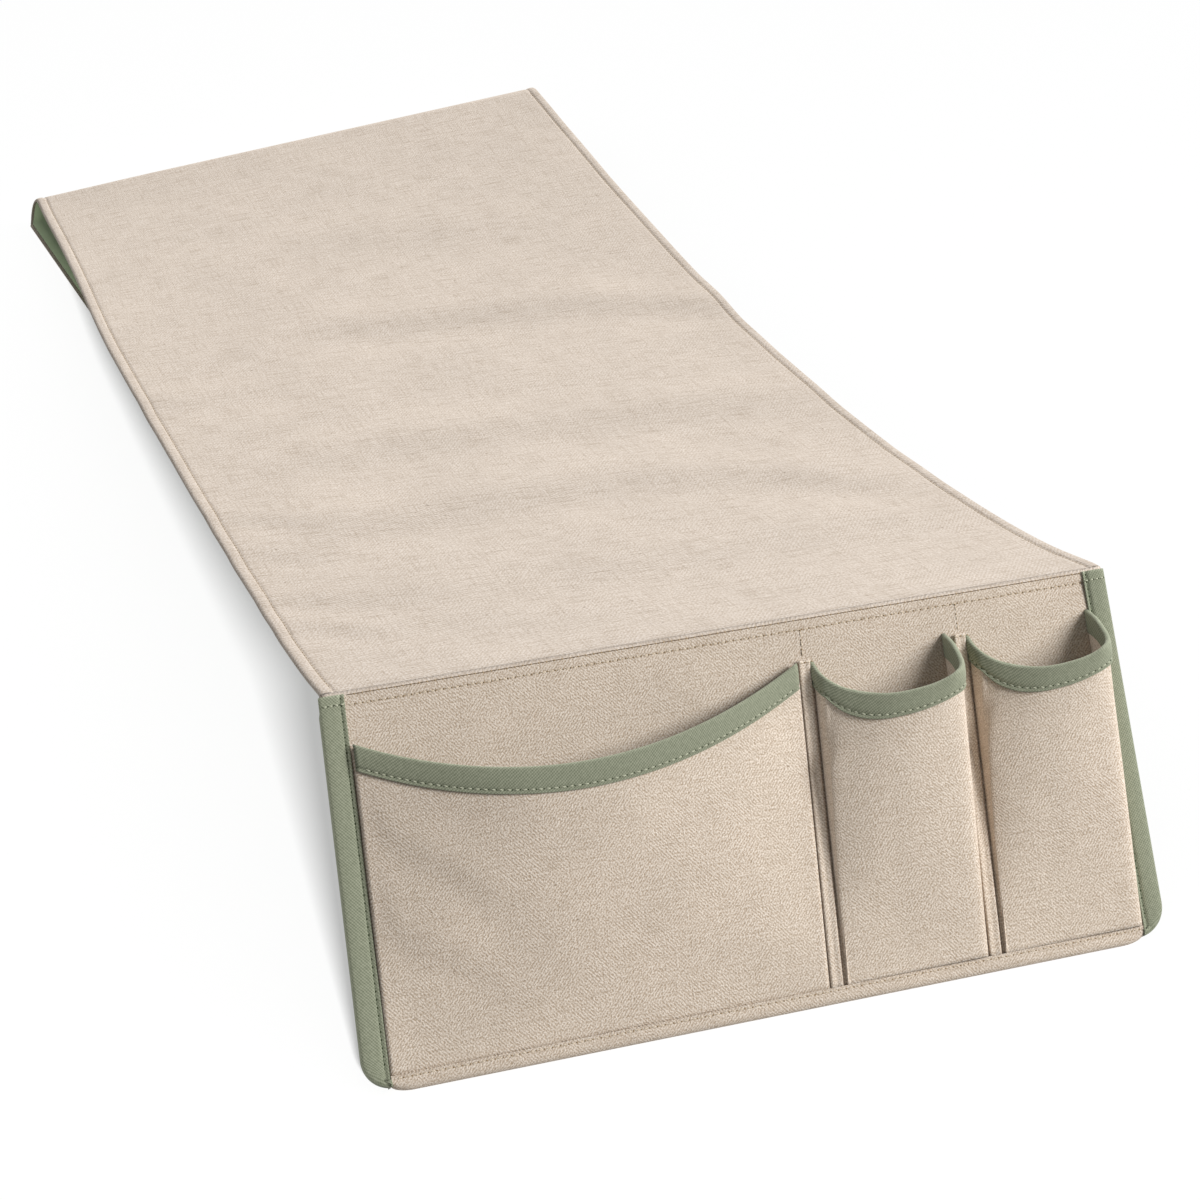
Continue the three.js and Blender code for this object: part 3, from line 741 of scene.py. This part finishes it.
for side, foot in DIVIDER_FEET.items():
    across, height = np.meshgrid(strip_x, np.linspace(POCKET_FOOT, DIVIDER_TOP, 70))
    face = np.broadcast_to(strip_c[None, :], across.shape)
    place = on_panel(seam_x(foot, height) + across, height, face)
    reach = np.broadcast_to(strip_reach[None, :], across.shape)
    flat = np.stack((foot + reach, height), axis=-1)
    strip = cloth_grid(f"{side}_divider_linen", place, flat, DIVIDER_CLOTH, panel_cloth)
    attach(strip, "panel")
    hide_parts(f"{side}_divider_strip")
    across = seam_x(foot, DIVIDER_TOP) + np.linspace(*DIVIDER_BAR_ENDS, 8) * MM
    bar = on_panel(across, DIVIDER_TOP - DIVIDER_BAR_DROP, DIVIDER_FACE + STITCH_STAND)
    rise = np.linspace(DIVIDER_TOP + DIVIDER_TACK_LIFT, ridge_stitch, 12)
    tack = on_panel(seam_x(foot + DIVIDER_WIDTH / 2, rise), rise, STITCH_STAND)
    seams = panel_seams(bar, tack)
    divider_stitches = sew(f"{side}_divider_stitching", seams, linen_thread, linen_hole_shade, "panel")

# Large pocket: a wide flat linen front, sewn down at the left binding and at
# the left divider, slack enough for its scooped mouth to stand off the panel.
LARGE_LEFT = -154.7 * MM
LARGE_DROP_LEFT = 20.6 * MM
LARGE_DROP_RIGHT = 18.5 * MM
LARGE_SCOOP = 24.8 * MM
LARGE_LIFT = 1.2 * MM
LARGE_BELLY = 14 * MM
LARGE_SKEW = 1.05
LARGE_SEAM = 0.6 * MM
LARGE_UNEVENNESS = 0.3 * MM
LARGE_STILL = 0.06
LARGE_STILL_FOOT = 14 * MM
POCKET_SEAT = 0.8 * MM
UNDER_TAPE = 1 * MM

# Wrinkles from one end to the other: share of the width and height in mm at
# each end, then depth and breadth in mm. They fade in and out by these shares.
WRINKLE_FADES = ((-0.06, 0.03), (-0.08, 0.06))
LARGE_WRINKLES = (
    (0.03, 96, 0.28, 62, 0.4, 7.5),
    (0.04, 56, 0.26, 34, 0.4, 7.0),
    (0.10, 120, 0.40, 88, 0.25, 9.0),
    (0.62, 30, 0.95, 22, 0.3, 8.0),
)


def large_rim(u):
    drop = mix(LARGE_DROP_LEFT, LARGE_DROP_RIGHT, u)
    return PANEL_LENGTH - drop - LARGE_SCOOP * (1 - (2 * u - 1) ** 2)


def large_cloth(u, height):
    rise = np.clip((height - POCKET_FOOT) / (DIVIDER_TOP - POCKET_FOOT), 0, 1)
    right = seam_x(DIVIDER_FEET["left"], height) - LARGE_SEAM
    a = mix(LARGE_LEFT, right, u)
    belly = LARGE_LIFT + LARGE_BELLY * np.sin(math.pi * np.clip(u, 0, 1) ** LARGE_SKEW)
    c = POCKET_SEAT + belly * np.sin(math.pi / 2 * rise)
    wave = LARGE_UNEVENNESS * unevenness(a, height)
    for u0, h0, u1, h1, depth, breadth in LARGE_WRINKLES:
        middle = np.interp(u, (u0, u1), (h0, h1))
        away = (height / MM - middle) / breadth
        begins, ends = WRINKLE_FADES
        fade = smooth(u, u0 + begins[0], u0 + begins[1]) * (1 - smooth(u, u1 + ends[0], u1 + ends[1]))
        wave = wave + depth * MM * fade * away * np.exp(0.5 - away ** 2 / 2)
    edge = smooth(u, 0, LARGE_STILL) * smooth(1 - u, 0, LARGE_STILL)
    edge = edge * smooth(height, POCKET_FOOT, POCKET_FOOT + LARGE_STILL_FOOT)
    return np.stack((a, height, c + wave * edge), axis=-1)


def panel_place(point):
    return on_panel(point[..., 0], point[..., 1], point[..., 2])


share, climb = np.meshgrid(np.linspace(0, 1, 115), np.linspace(0, 1, 70))
large_point = large_cloth(share, mix(POCKET_FOOT, large_rim(share) - UNDER_TAPE, climb))
large_place = panel_place(large_point)
large_pocket = cloth_grid(
    "large_pocket_linen", large_place, large_point[..., :2], LINEN_THICKNESS, panel_cloth
)
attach(large_pocket, "panel")
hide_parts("large_pocket")

# Narrow pockets: two bellows pockets of linen. Each is pleated at its left
# side, bows out to the front and turns back to the panel in a steep right wall.
NARROW_WIDTH = 62 * MM
NARROW_SEAM = 0.9 * MM
NARROW_DEPTH = 25.5 * MM
NARROW_FOOT_DEPTH = 2.6 * MM
NARROW_SWELLING = 0.85
NARROW_SEAT = 0.3 * MM
NARROW_POCKETS = {"middle": (26 * MM, SEAM_LEAN, 4 * MM), "right": (93 * MM, SEAM_LEAN, 0)}

# Section from the left seam round to the right one, as shares of the width
# and of the depth: at the mouth, close under it, at two heights where the left
# side is a pleat that stands up, and at the foot where it is pressed shut
MOUTH_ACROSS = (0, 0.025, 0.075, 0.15, 0.25, 0.37, 0.50, 0.64, 0.77, 0.90, 0.985, 1.0, 1.0)
MOUTH_OUT = (0, 0.14, 0.32, 0.50, 0.69, 0.84, 0.94, 0.99, 1.0, 0.94, 0.74, 0.36, 0)
PLEAT_ACROSS = (0, 0.004, 0.010, 0.014, 0.05, 0.14, 0.26, 0.40, 0.56, 0.76, 0.95, 1.0, 1.0)
NEAR_OUT = (0, 0.283, 0.343, 0.434, 0.555, 0.70, 0.83, 0.92, 0.975, 0.98, 0.78, 0.38, 0)
HIGH_OUT = (0, 0.20, 0.36, 0.45, 0.53, 0.645, 0.785, 0.90, 0.98, 0.985, 0.90, 0.5, 0)
LOW_OUT = (0, 0.14, 0.25, 0.31, 0.39, 0.53, 0.66, 0.76, 0.88, 0.965, 0.94, 0.5, 0)
FOOT_ACROSS = (0, 0.03, 0.02, 0.012, 0.05, 0.14, 0.26, 0.40, 0.56, 0.76, 0.95, 1.0, 1.0)
FOOT_OUT = (0, 0.1, 0.22, 0.28, 0.34, 0.42, 0.5, 0.6, 0.75, 0.93, 1.0, 0.5, 0)
SECTIONS = (
    (0, FOOT_ACROSS, FOOT_OUT),
    (0.35, PLEAT_ACROSS, LOW_OUT),
    (0.65, PLEAT_ACROSS, HIGH_OUT),
    (0.84, MOUTH_ACROSS, NEAR_OUT),
    (1, MOUTH_ACROSS, MOUTH_OUT),
)
RIM_HEIGHTS = (133.5, 127.6, 123.2, 119.4, 116.4, 113.9, 112.5, 112.4, 113.3, 116.0, 120.2, 129.5, 135.5)


def through(values, share):
    """Smooth curve through evenly spaced values."""
    values = np.asarray(values, dtype=float)
    spot = np.clip(share, 0, 1) * (len(values) - 1)
    first = np.minimum(spot.astype(int), len(values) - 2)
    t = spot - first
    padded = np.concatenate(([2 * values[0] - values[1]], values, [2 * values[-1] - values[-2]]))
    a, b, c, d = (padded[first + k] for k in range(4))
    return b + 0.5 * t * (c - a + t * (2 * a - 5 * b + 4 * c - d + t * (3 * (b - c) + d - a)))


def narrow_rim(u):
    return through(RIM_HEIGHTS, u) * MM


def narrow_cloth(foot, left_lean, right_lean):
    def cloth(u, height):
        rise = np.clip((height - POCKET_FOOT) / (DIVIDER_TOP - POCKET_FOOT), 0, 1)
        left = foot + left_lean * height / DIVIDER_TOP + NARROW_SEAM
        right = foot + NARROW_WIDTH + right_lean * height / DIVIDER_TOP - NARROW_SEAM
        depth = mix(NARROW_FOOT_DEPTH, NARROW_DEPTH, rise ** NARROW_SWELLING)
        across = np.zeros_like(rise)
        out = np.zeros_like(rise)
        for (low, low_across, low_out), (high, high_across, high_out) in zip(SECTIONS, SECTIONS[1:]):
            share = (rise - low) / (high - low)
            within = (share > 0) & (share <= 1) | (rise == low)
            across = np.where(within, mix(through(low_across, u), through(high_across, u), share), across)
            out = np.where(within, mix(through(low_out, u), through(high_out, u), share), out)
        return np.stack((mix(left, right, across), height, NARROW_SEAT + depth * out), axis=-1)

    return cloth


narrow_share = np.linspace(0, 1, 111)
for side, setting in NARROW_POCKETS.items():
    foot = setting[0]
    cloth = narrow_cloth(*setting)
    share, climb = np.meshgrid(narrow_share, np.linspace(0, 1, 70))
    point = cloth(share, mix(POCKET_FOOT, narrow_rim(share) - UNDER_TAPE, climb))
    flat = np.stack((foot + reach_along(point, 1), point[..., 1]), axis=-1)
    place = panel_place(point)
    pocket = cloth_grid(f"{side}_pocket_linen", place, flat, LINEN_THICKNESS, panel_cloth)
    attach(pocket, "panel")
    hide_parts(f"{side}_pocket")

# Rim tapes: sage green cotton twill tape folded over each pocket's mouth and
# stitched through near its lower edge.
TAPE_WIDTH = 10 * MM
TAPE_THICKNESS = 0.7 * MM
TAPE_STAND = 1.05 * MM
TAPE_STITCH = 1.45 * MM
LARGE_TAPE = 9.5 * MM
NARROW_TAPE = 8.5 * MM
TAPE_PUFF = 0.25 * MM
TAPE_GROOVE = 0.55 * MM
TAPE_GROOVE_HALF = 0.55 * MM
RIM_STITCH = {"pitch": 3 * MM, "length": 2.3 * MM, "radius": 0.4 * MM, "hole": 0.5 * MM}
LARGE_TAPE_ENDS = (0.004, 0.996)
NARROW_TAPE_ENDS = (0.0005, 0.9995)
SLOPE_STEP = 1e-3
SLOPE_RISE = 0.5 * MM

# Cotton twill tape: fine slanting ribs, dull with a slight sheen. The real
# ribs are 0.5 mm apart and are drawn at 0.9 mm so that they show.
TWILL_PITCH = 0.9
TWILL_TURNS = (0.85, -0.6)
TWILL_TINT_SIZE = 1.6


def twill_material(name, pale, deep):
    material, tree, shader = start_material(name)
    flat = tree.nodes.new("ShaderNodeUVMap")
    mm = add_node(tree, "VectorMath", {0: flat, "Scale": 1 / MM}, operation="SCALE")
    wave = {"Scale": math.pi / (10 * TWILL_PITCH), "Distortion": 2.6, "Detail": 2.0}
    ribs = []
    for turn in TWILL_TURNS:
        turned = add_node(tree, "Mapping", {"Vector": mm, "Rotation": (0, 0, turn)})
        ribs.append(add_node(tree, "TexWave", {"Vector": turned, **wave}).outputs["Fac"])
    crossing = add_node(tree, "Mix", {0: 0.36, 2: ribs[0], 3: ribs[1]})
    tint = add_node(tree, "TexNoise", {"Vector": mm, "Scale": 1 / TWILL_TINT_SIZE, "Detail": 5.0})
    weave = add_node(tree, "Mix", {0: 0.46, 2: crossing, 3: tint})
    gloss = {"Specular IOR Level": 0.25, "Sheen Weight": 0.1}
    weave_look(tree, shader, weave, pale, deep, (0.92, 0.78), 0.5, 0.15 * MM, gloss)
    return material


tape_cloth = twill_material("sage cotton twill tape", "#a9ac96", "#535a44")
tape_thread = thread_material("pale sage sewing thread", "#c6c7b2", "#989c84")
# Darker sage thread for the bindings' seams: partly its own colour, partly painted shade of stitches lying
# in shade.
binding_thread_in_painted_shade = thread_material("sage sewing thread", "#7f8770", "#5d644d")
# Painted shade for the needle holes in the twill tapes.
twill_hole_shade = hole_shade_material("painted shade in twill needle holes", "#4d563f", "#323a29")


def tape_profile(inset):
    """Height of the tape's face above its plain level, inset from its stitched edge."""
    share = np.clip((inset - TAPE_STITCH) / (TAPE_WIDTH - TAPE_STITCH), 0, 1)
    groove = np.exp(-((inset - TAPE_STITCH) / TAPE_GROOVE_HALF) ** 2)
    return TAPE_PUFF * np.sin(math.pi * share) - TAPE_GROOVE * groove


def rim_tape(side, cloth, rim, shares, width):
    name = f"{side}_rim_tape"
    leg = np.array([0, 0.03, 0.07, 0.12, 0.17, 0.22, 0.27, 0.35, 0.45, 0.55, 0.65, 0.75, 0.85, 0.93]) * width
    turns = np.linspace(0, math.pi, 13)
    insets = np.concatenate((leg, np.full(len(turns), width), leg[::-1]))
    angles = np.concatenate((np.zeros(len(leg)), turns, np.full(len(leg), math.pi)))
    share, inset = np.meshgrid(shares, insets)
    angle = np.broadcast_to(angles[:, None], share.shape)
    height = rim(share) - (width - inset)
    low = np.clip(share - SLOPE_STEP, 0, 1)
    high = np.clip(share + SLOPE_STEP, 0, 1)
    middle = cloth(share, height)
    across = cloth(high, rim(high) - (width - inset)) - cloth(low, rim(low) - (width - inset))
    upward = middle - cloth(share, height - SLOPE_RISE)
    normal = np.cross(across, upward)
    normal = normal / np.linalg.norm(normal, axis=-1, keepdims=True)
    stand = TAPE_STAND + np.where(angle == 0, tape_profile(inset), 0)
    point = middle + normal * (stand * np.cos(angle))[..., None]
    point[..., 1] += TAPE_STAND * np.sin(angle)
    place = panel_place(point)
    flat = np.stack((reach_along(place, 1), reach_along(place, 0)), axis=-1)
    tape = cloth_grid(name, place, flat, TAPE_THICKNESS, tape_cloth)
    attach(tape, "panel")
    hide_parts(f"{side}_pocket_binding")
    groove = int(np.argmin(np.abs(leg - TAPE_STITCH)))
    face_normal = normals_of(place)[groove]
    inside = slice(2, -2)
    seam = (place[groove, inside] + face_normal[inside] * STITCH_STAND, face_normal[inside])
    stitches = sew(f"{name}_stitching", [seam], tape_thread, twill_hole_shade, "panel", **RIM_STITCH)


rim_tape("large", large_cloth, large_rim, np.linspace(*LARGE_TAPE_ENDS, 120), LARGE_TAPE)
for side, setting in NARROW_POCKETS.items():
    shares = np.clip(narrow_share, *NARROW_TAPE_ENDS)
    rim_tape(side, narrow_cloth(*setting), narrow_rim, shares, NARROW_TAPE)

# Side bindings: the same twill tape folded round both sides of the panel and
# round its lower corners, stitched near the inner edge and across the top.
BINDING_FACE = 1.0 * MM
BINDING_BACK = -4.3 * MM
BINDING_INNER = 155 * MM
BINDING_TOP = 152 * MM
BINDING_RELIEF = 8 * MM
RELIEF_TURN = 0.6
FOLD_TIGHTNESS = 0.5
RELIEF_FADE = 1.5 * MM
CORNER_START = math.radians(9)
BINDING_SEAM_FOOT = 8 * MM
BINDING_SEAM_DROP = 1.5 * MM
BINDING_STITCH = {"pitch": 3 * MM, "length": 2 * MM, "hole": 1.0 * MM}
BAR_LENGTH = 9 * MM
BAR_DROP = 4 * MM
BAR_STITCH = {"pitch": 2 * MM, "length": 1.6 * MM, "radius": 0.34 * MM, "hole": 0.4 * MM}
binding_half = (BINDING_FACE - BINDING_BACK) / 2
binding_middle = (BINDING_FACE + BINDING_BACK) / 2

corner_turns = np.linspace(CORNER_START, math.radians(90), 16)
corner_b = BINDING_LIFT + CORNER_RADIUS * (1 - np.cos(corner_turns))
corner_a = WIDTH / 2 - CORNER_RADIUS * (1 - np.sin(corner_turns))
side_b = np.linspace(BINDING_LIFT + CORNER_RADIUS, BINDING_TOP, 96)[1:]
edge_a = np.concatenate((corner_a, np.full(len(side_b), WIDTH / 2)))
edge_b = np.concatenate((corner_b, side_b))
edge_turn = np.concatenate((corner_turns, np.full(len(side_b), math.pi / 2)))

for side, sign in (("left", -1), ("right", 1)):
    leg = np.array([0, 0.04, 0.08, 0.12, 0.17, 0.22, 0.27, 0.35, 0.45, 0.55, 0.65, 0.76, 0.88, 1.0])
    turns = np.linspace(0, math.pi, 15)
    reach = np.concatenate((leg, np.ones(len(turns) - 2), leg[::-1]))
    angle = np.concatenate((np.zeros(len(leg)), turns[1:-1], np.full(len(leg), math.pi)))
    share, b = np.meshgrid(reach, edge_b)
    wrap = np.broadcast_to(angle[None, :], share.shape)
    outer_a = edge_a[:, None] - binding_half * np.sin(edge_turn)[:, None]
    outer_b = edge_b[:, None] + binding_half * np.cos(edge_turn)[:, None]
    inner_a = np.minimum(BINDING_INNER, outer_a)
    relief_foot = PANEL_LENGTH - BINDING_RELIEF
    relief = smooth(b, relief_foot, relief_foot + RELIEF_FADE)
    wrap = np.minimum(wrap, math.pi * (1 - RELIEF_TURN * relief))
    share = np.where(angle[None, :] == math.pi, mix(share, 1, relief), share)
    reach_out = binding_half * np.sin(wrap) ** FOLD_TIGHTNESS
    a = mix(inner_a, outer_a, share) + reach_out * np.sin(edge_turn)[:, None]
    height = mix(b, outer_b, share) - reach_out * np.cos(edge_turn)[:, None]
    stand = np.where(angle[None, :] == 0, tape_profile(share * (outer_a - inner_a)), 0)
    facing = np.cos(wrap)
    c = binding_middle + binding_half * np.sign(facing) * np.abs(facing) ** FOLD_TIGHTNESS + stand
    place = on_panel(sign * a, height, c)
    flat = np.stack((b, reach_along(place, 1)), axis=-1)
    if sign < 0:
        place = place[:, ::-1]
        flat = flat[:, ::-1]
    tape = cloth_grid(f"{side}_binding_tape", place, flat, TAPE_THICKNESS, tape_cloth)
    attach(tape, "panel")
    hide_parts(f"{side}_side_binding")
    seam_b = np.linspace(BINDING_SEAM_FOOT, PANEL_LENGTH - BINDING_SEAM_DROP, 60)
    seam = on_panel(sign * (BINDING_INNER + TAPE_STITCH), seam_b, BINDING_FACE - TAPE_GROOVE + STITCH_STAND)
    bar_a = sign * np.linspace(BINDING_INNER, BINDING_INNER + BAR_LENGTH, 8)
    bar = on_panel(bar_a, PANEL_LENGTH - BAR_DROP, BINDING_FACE + TAPE_PUFF + STITCH_STAND)
    stitches = sew(
        f"{side}_binding_stitching", panel_seams(seam), binding_thread_in_painted_shade, twill_hole_shade, "panel", **BINDING_STITCH
    )
    bar_tack = sew(
        f"{side}_binding_bar_tack", panel_seams(bar), tape_thread, twill_hole_shade, "panel", **BAR_STITCH
    )

# Hem: linen folded round the panel's bottom edge between the two bindings
# and topstitched near its upper edge.
HEM_RADIUS = 2.95 * MM
HEM_HEIGHT = 6.2 * MM
HEM_HALF = 154.7 * MM
HEM_STITCH = 5 * MM
HEM_END = 9 * MM
HEM_END_LIFT = 3 * MM
HEM_GROOVE = 0.4 * MM
HEM_GROOVE_HALF = 0.6 * MM
HEM_SEAM_END = 153
HEM_STITCH_SINK = 0.3 * MM

turns = np.linspace(0, math.pi, 17)
legs = np.linspace(HEM_HEIGHT, HEM_RADIUS, 8)
hem_b = np.concatenate((legs, HEM_RADIUS - HEM_RADIUS * np.sin(turns[1:-1]), legs[::-1]))
hem_out = np.concatenate((np.ones(8), np.cos(turns[1:-1]), -np.ones(8))) * HEM_RADIUS
hem_columns = HEM_HALF * np.sin(np.linspace(-math.pi / 2, math.pi / 2, 170))
a, b = np.meshgrid(hem_columns, hem_b)
to_end = np.clip((np.abs(a) - HEM_HALF + HEM_END) / HEM_END, 0, 1)
b = b + HEM_END_LIFT * (1 - np.sqrt(1 - to_end ** 2)) * (1 - b / HEM_HEIGHT)
out = np.broadcast_to(hem_out[:, None], a.shape)
groove = HEM_GROOVE * np.exp(-((b - HEM_STITCH) / HEM_GROOVE_HALF) ** 2) * (out > 0)
place = on_panel(a, b, out - groove - PANEL_STACK / 2)
flat = np.stack((a, -reach_along(place, 0)), axis=-1)
hem = cloth_grid("hem_linen", place[::-1], flat[::-1], LINEN_THICKNESS, panel_cloth)
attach(hem, "panel")
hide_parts("bottom_hem")
seam_c = HEM_RADIUS - PANEL_STACK / 2 - HEM_STITCH_SINK
path = on_panel(np.linspace(-HEM_SEAM_END, HEM_SEAM_END, 90) * MM, HEM_STITCH, seam_c)
hem_stitches = sew("hem_topstitching", panel_seams(path), linen_thread, linen_hole_shade, "panel")

# Stage: a plain white studio floor that keeps the object's soft shadow, and an
# even white surround. Camera rays see the floor near white by its own glow.
FLOOR_SIZE = 9
FLOOR_DROP = 0.4 * MM
SURROUND = 0.2
FLOOR_GLOW = 0.445

bpy.ops.object.select_all(action="DESELECT")
bpy.ops.mesh.primitive_plane_add(size=FLOOR_SIZE, location=(0, 0, -FLOOR_DROP))
floor = bpy.context.object
floor.name = "studio_floor"
floor_white, floor_tree, floor_shader = start_material("white studio floor")
floor_seen = floor_tree.nodes.new("ShaderNodeLightPath").outputs["Is Camera Ray"]
floor_bounce = add_node(floor_tree, "BsdfDiffuse", {"Color": linear("#a8a8a8")})
floor_shade = add_node(floor_tree, "BsdfDiffuse", {"Color": linear("#bcbcbc")})
floor_glow = add_node(floor_tree, "Emission", {"Strength": FLOOR_GLOW})
floor_look = add_node(floor_tree, "AddShader", {0: floor_shade, 1: floor_glow})
floor_mix = add_node(floor_tree, "MixShader", {0: floor_seen, 1: floor_bounce, 2: floor_look})
set_inputs(floor_tree, floor_tree.nodes["Material Output"], {"Surface": floor_mix})
floor_tree.nodes.remove(floor_shader)
floor.data.materials.append(floor_white)

world = bpy.data.worlds.new("even white surround")
bpy.context.scene.world = world
world.use_nodes = True
sky = world.node_tree
seen = sky.nodes.new("ShaderNodeLightPath").outputs
either = {0: seen["Is Camera Ray"], 1: seen["Is Glossy Ray"]}
direct = add_node(sky, "Math", either, operation="MAXIMUM")
strength = add_node(sky, "Mix", {0: direct, 2: SURROUND, 3: 1.0})
set_inputs(sky, sky.nodes["Background"], {"Color": linear("#ffffff"), "Strength": strength})

# Lamps: direction, distance, size, power and flags. Each is flagged, as with
# black card: the two wide soft ones on the object miss the floor, the rear one
# misses the panel's backing and the front one the runner, whose ripples the
# rear one shows. One far lamp meets the floor alone, and the low fill ones only
# the binding, the lining and the narrow pockets on their shaded left sides.
LAMP_AIM = np.array([0, -0.2, 0.06])
FROM_LEFT = (-0.9, -0.25, 0.36)
RUNNER_PIECES = ("runner_linen", "runner_lining_cotton", "runner_topstitching")
NARROW_POCKET_PIECES = (
    "left_divider_linen",
    "right_divider_linen",
    "middle_pocket_linen",
    "right_pocket_linen",
    "middle_rim_tape",
    "right_rim_tape",
)
LAMPS = {
    "high soft lamp at the rear right": (
        ((0.42, 0.66, 0.62), 10.0, 5.3, 1215), "EXCLUDE", ("studio_floor", "panel_backing_linen")
    ),
    "soft lamp at the front right": (
        ((0.72, -0.5, 0.48), 3.0, 1.4, 102), "EXCLUDE", ("studio_floor", *RUNNER_PIECES)
    ),
    "lamp on the floor": (((-0.2, -1.8, 1.0), 60.0, 6.6, 68500), "INCLUDE", ("studio_floor",)),
    "low fill lamp on the binding": ((FROM_LEFT, 3.0, 1.2, 30), "INCLUDE", ("left_binding_tape",)),
    "low fill lamp on the lining": ((FROM_LEFT, 3.0, 1.2, 45), "INCLUDE", ("runner_lining_cotton",)),
    "low fill lamp on the narrow pockets": ((FROM_LEFT, 3.0, 1.2, 13), "INCLUDE", NARROW_POCKET_PIECES),
}

for name, ((towards, distance, size, power), state, pieces) in LAMPS.items():
    lamp = bpy.data.lights.new(name, "AREA")
    lamp.energy = power
    lamp.size = size
    lamp_object = bpy.data.objects.new(name, lamp)
    bpy.context.collection.objects.link(lamp_object)
    aim = -np.array(towards) / np.linalg.norm(towards)
    lamp_object.location = LAMP_AIM - distance * aim
    lamp_object.rotation_euler = (math.acos(-aim[2]), 0, math.atan2(aim[1], aim[0]) - math.pi / 2)
    flags = bpy.data.collections.new(f"flags of the {name}")
    for piece in pieces:
        flags.objects.link(bpy.data.objects[piece])
    for entry in flags.collection_objects:
        entry.light_linking.link_state = state
    lamp_object.light_linking.receiver_collection = flags

# Camera: the photograph's view, from the left and above the pocket side.
CAMERA_TURN = math.radians(-17.61)
CAMERA_RISE = math.radians(30.47)
CAMERA_DISTANCE = 1.32035
CAMERA_TARGET = np.array([-10.95, -219.06, 57.65]) * MM
CAMERA_LENS = 90
CAMERA_SENSOR = 36

camera = bpy.data.cameras.new("photograph")
camera.lens = CAMERA_LENS
camera.sensor_width = CAMERA_SENSOR
camera_object = bpy.data.objects.new("photograph", camera)
bpy.context.collection.objects.link(camera_object)
level = math.cos(CAMERA_RISE)
back = np.array([math.sin(CAMERA_TURN) * level, -math.cos(CAMERA_TURN) * level, math.sin(CAMERA_RISE)])
camera_object.location = CAMERA_TARGET + CAMERA_DISTANCE * back
camera_object.rotation_euler = (math.pi / 2 - CAMERA_RISE, 0, CAMERA_TURN)
bpy.context.scene.camera = camera_object
bpy.context.scene.view_settings.view_transform = "Standard"
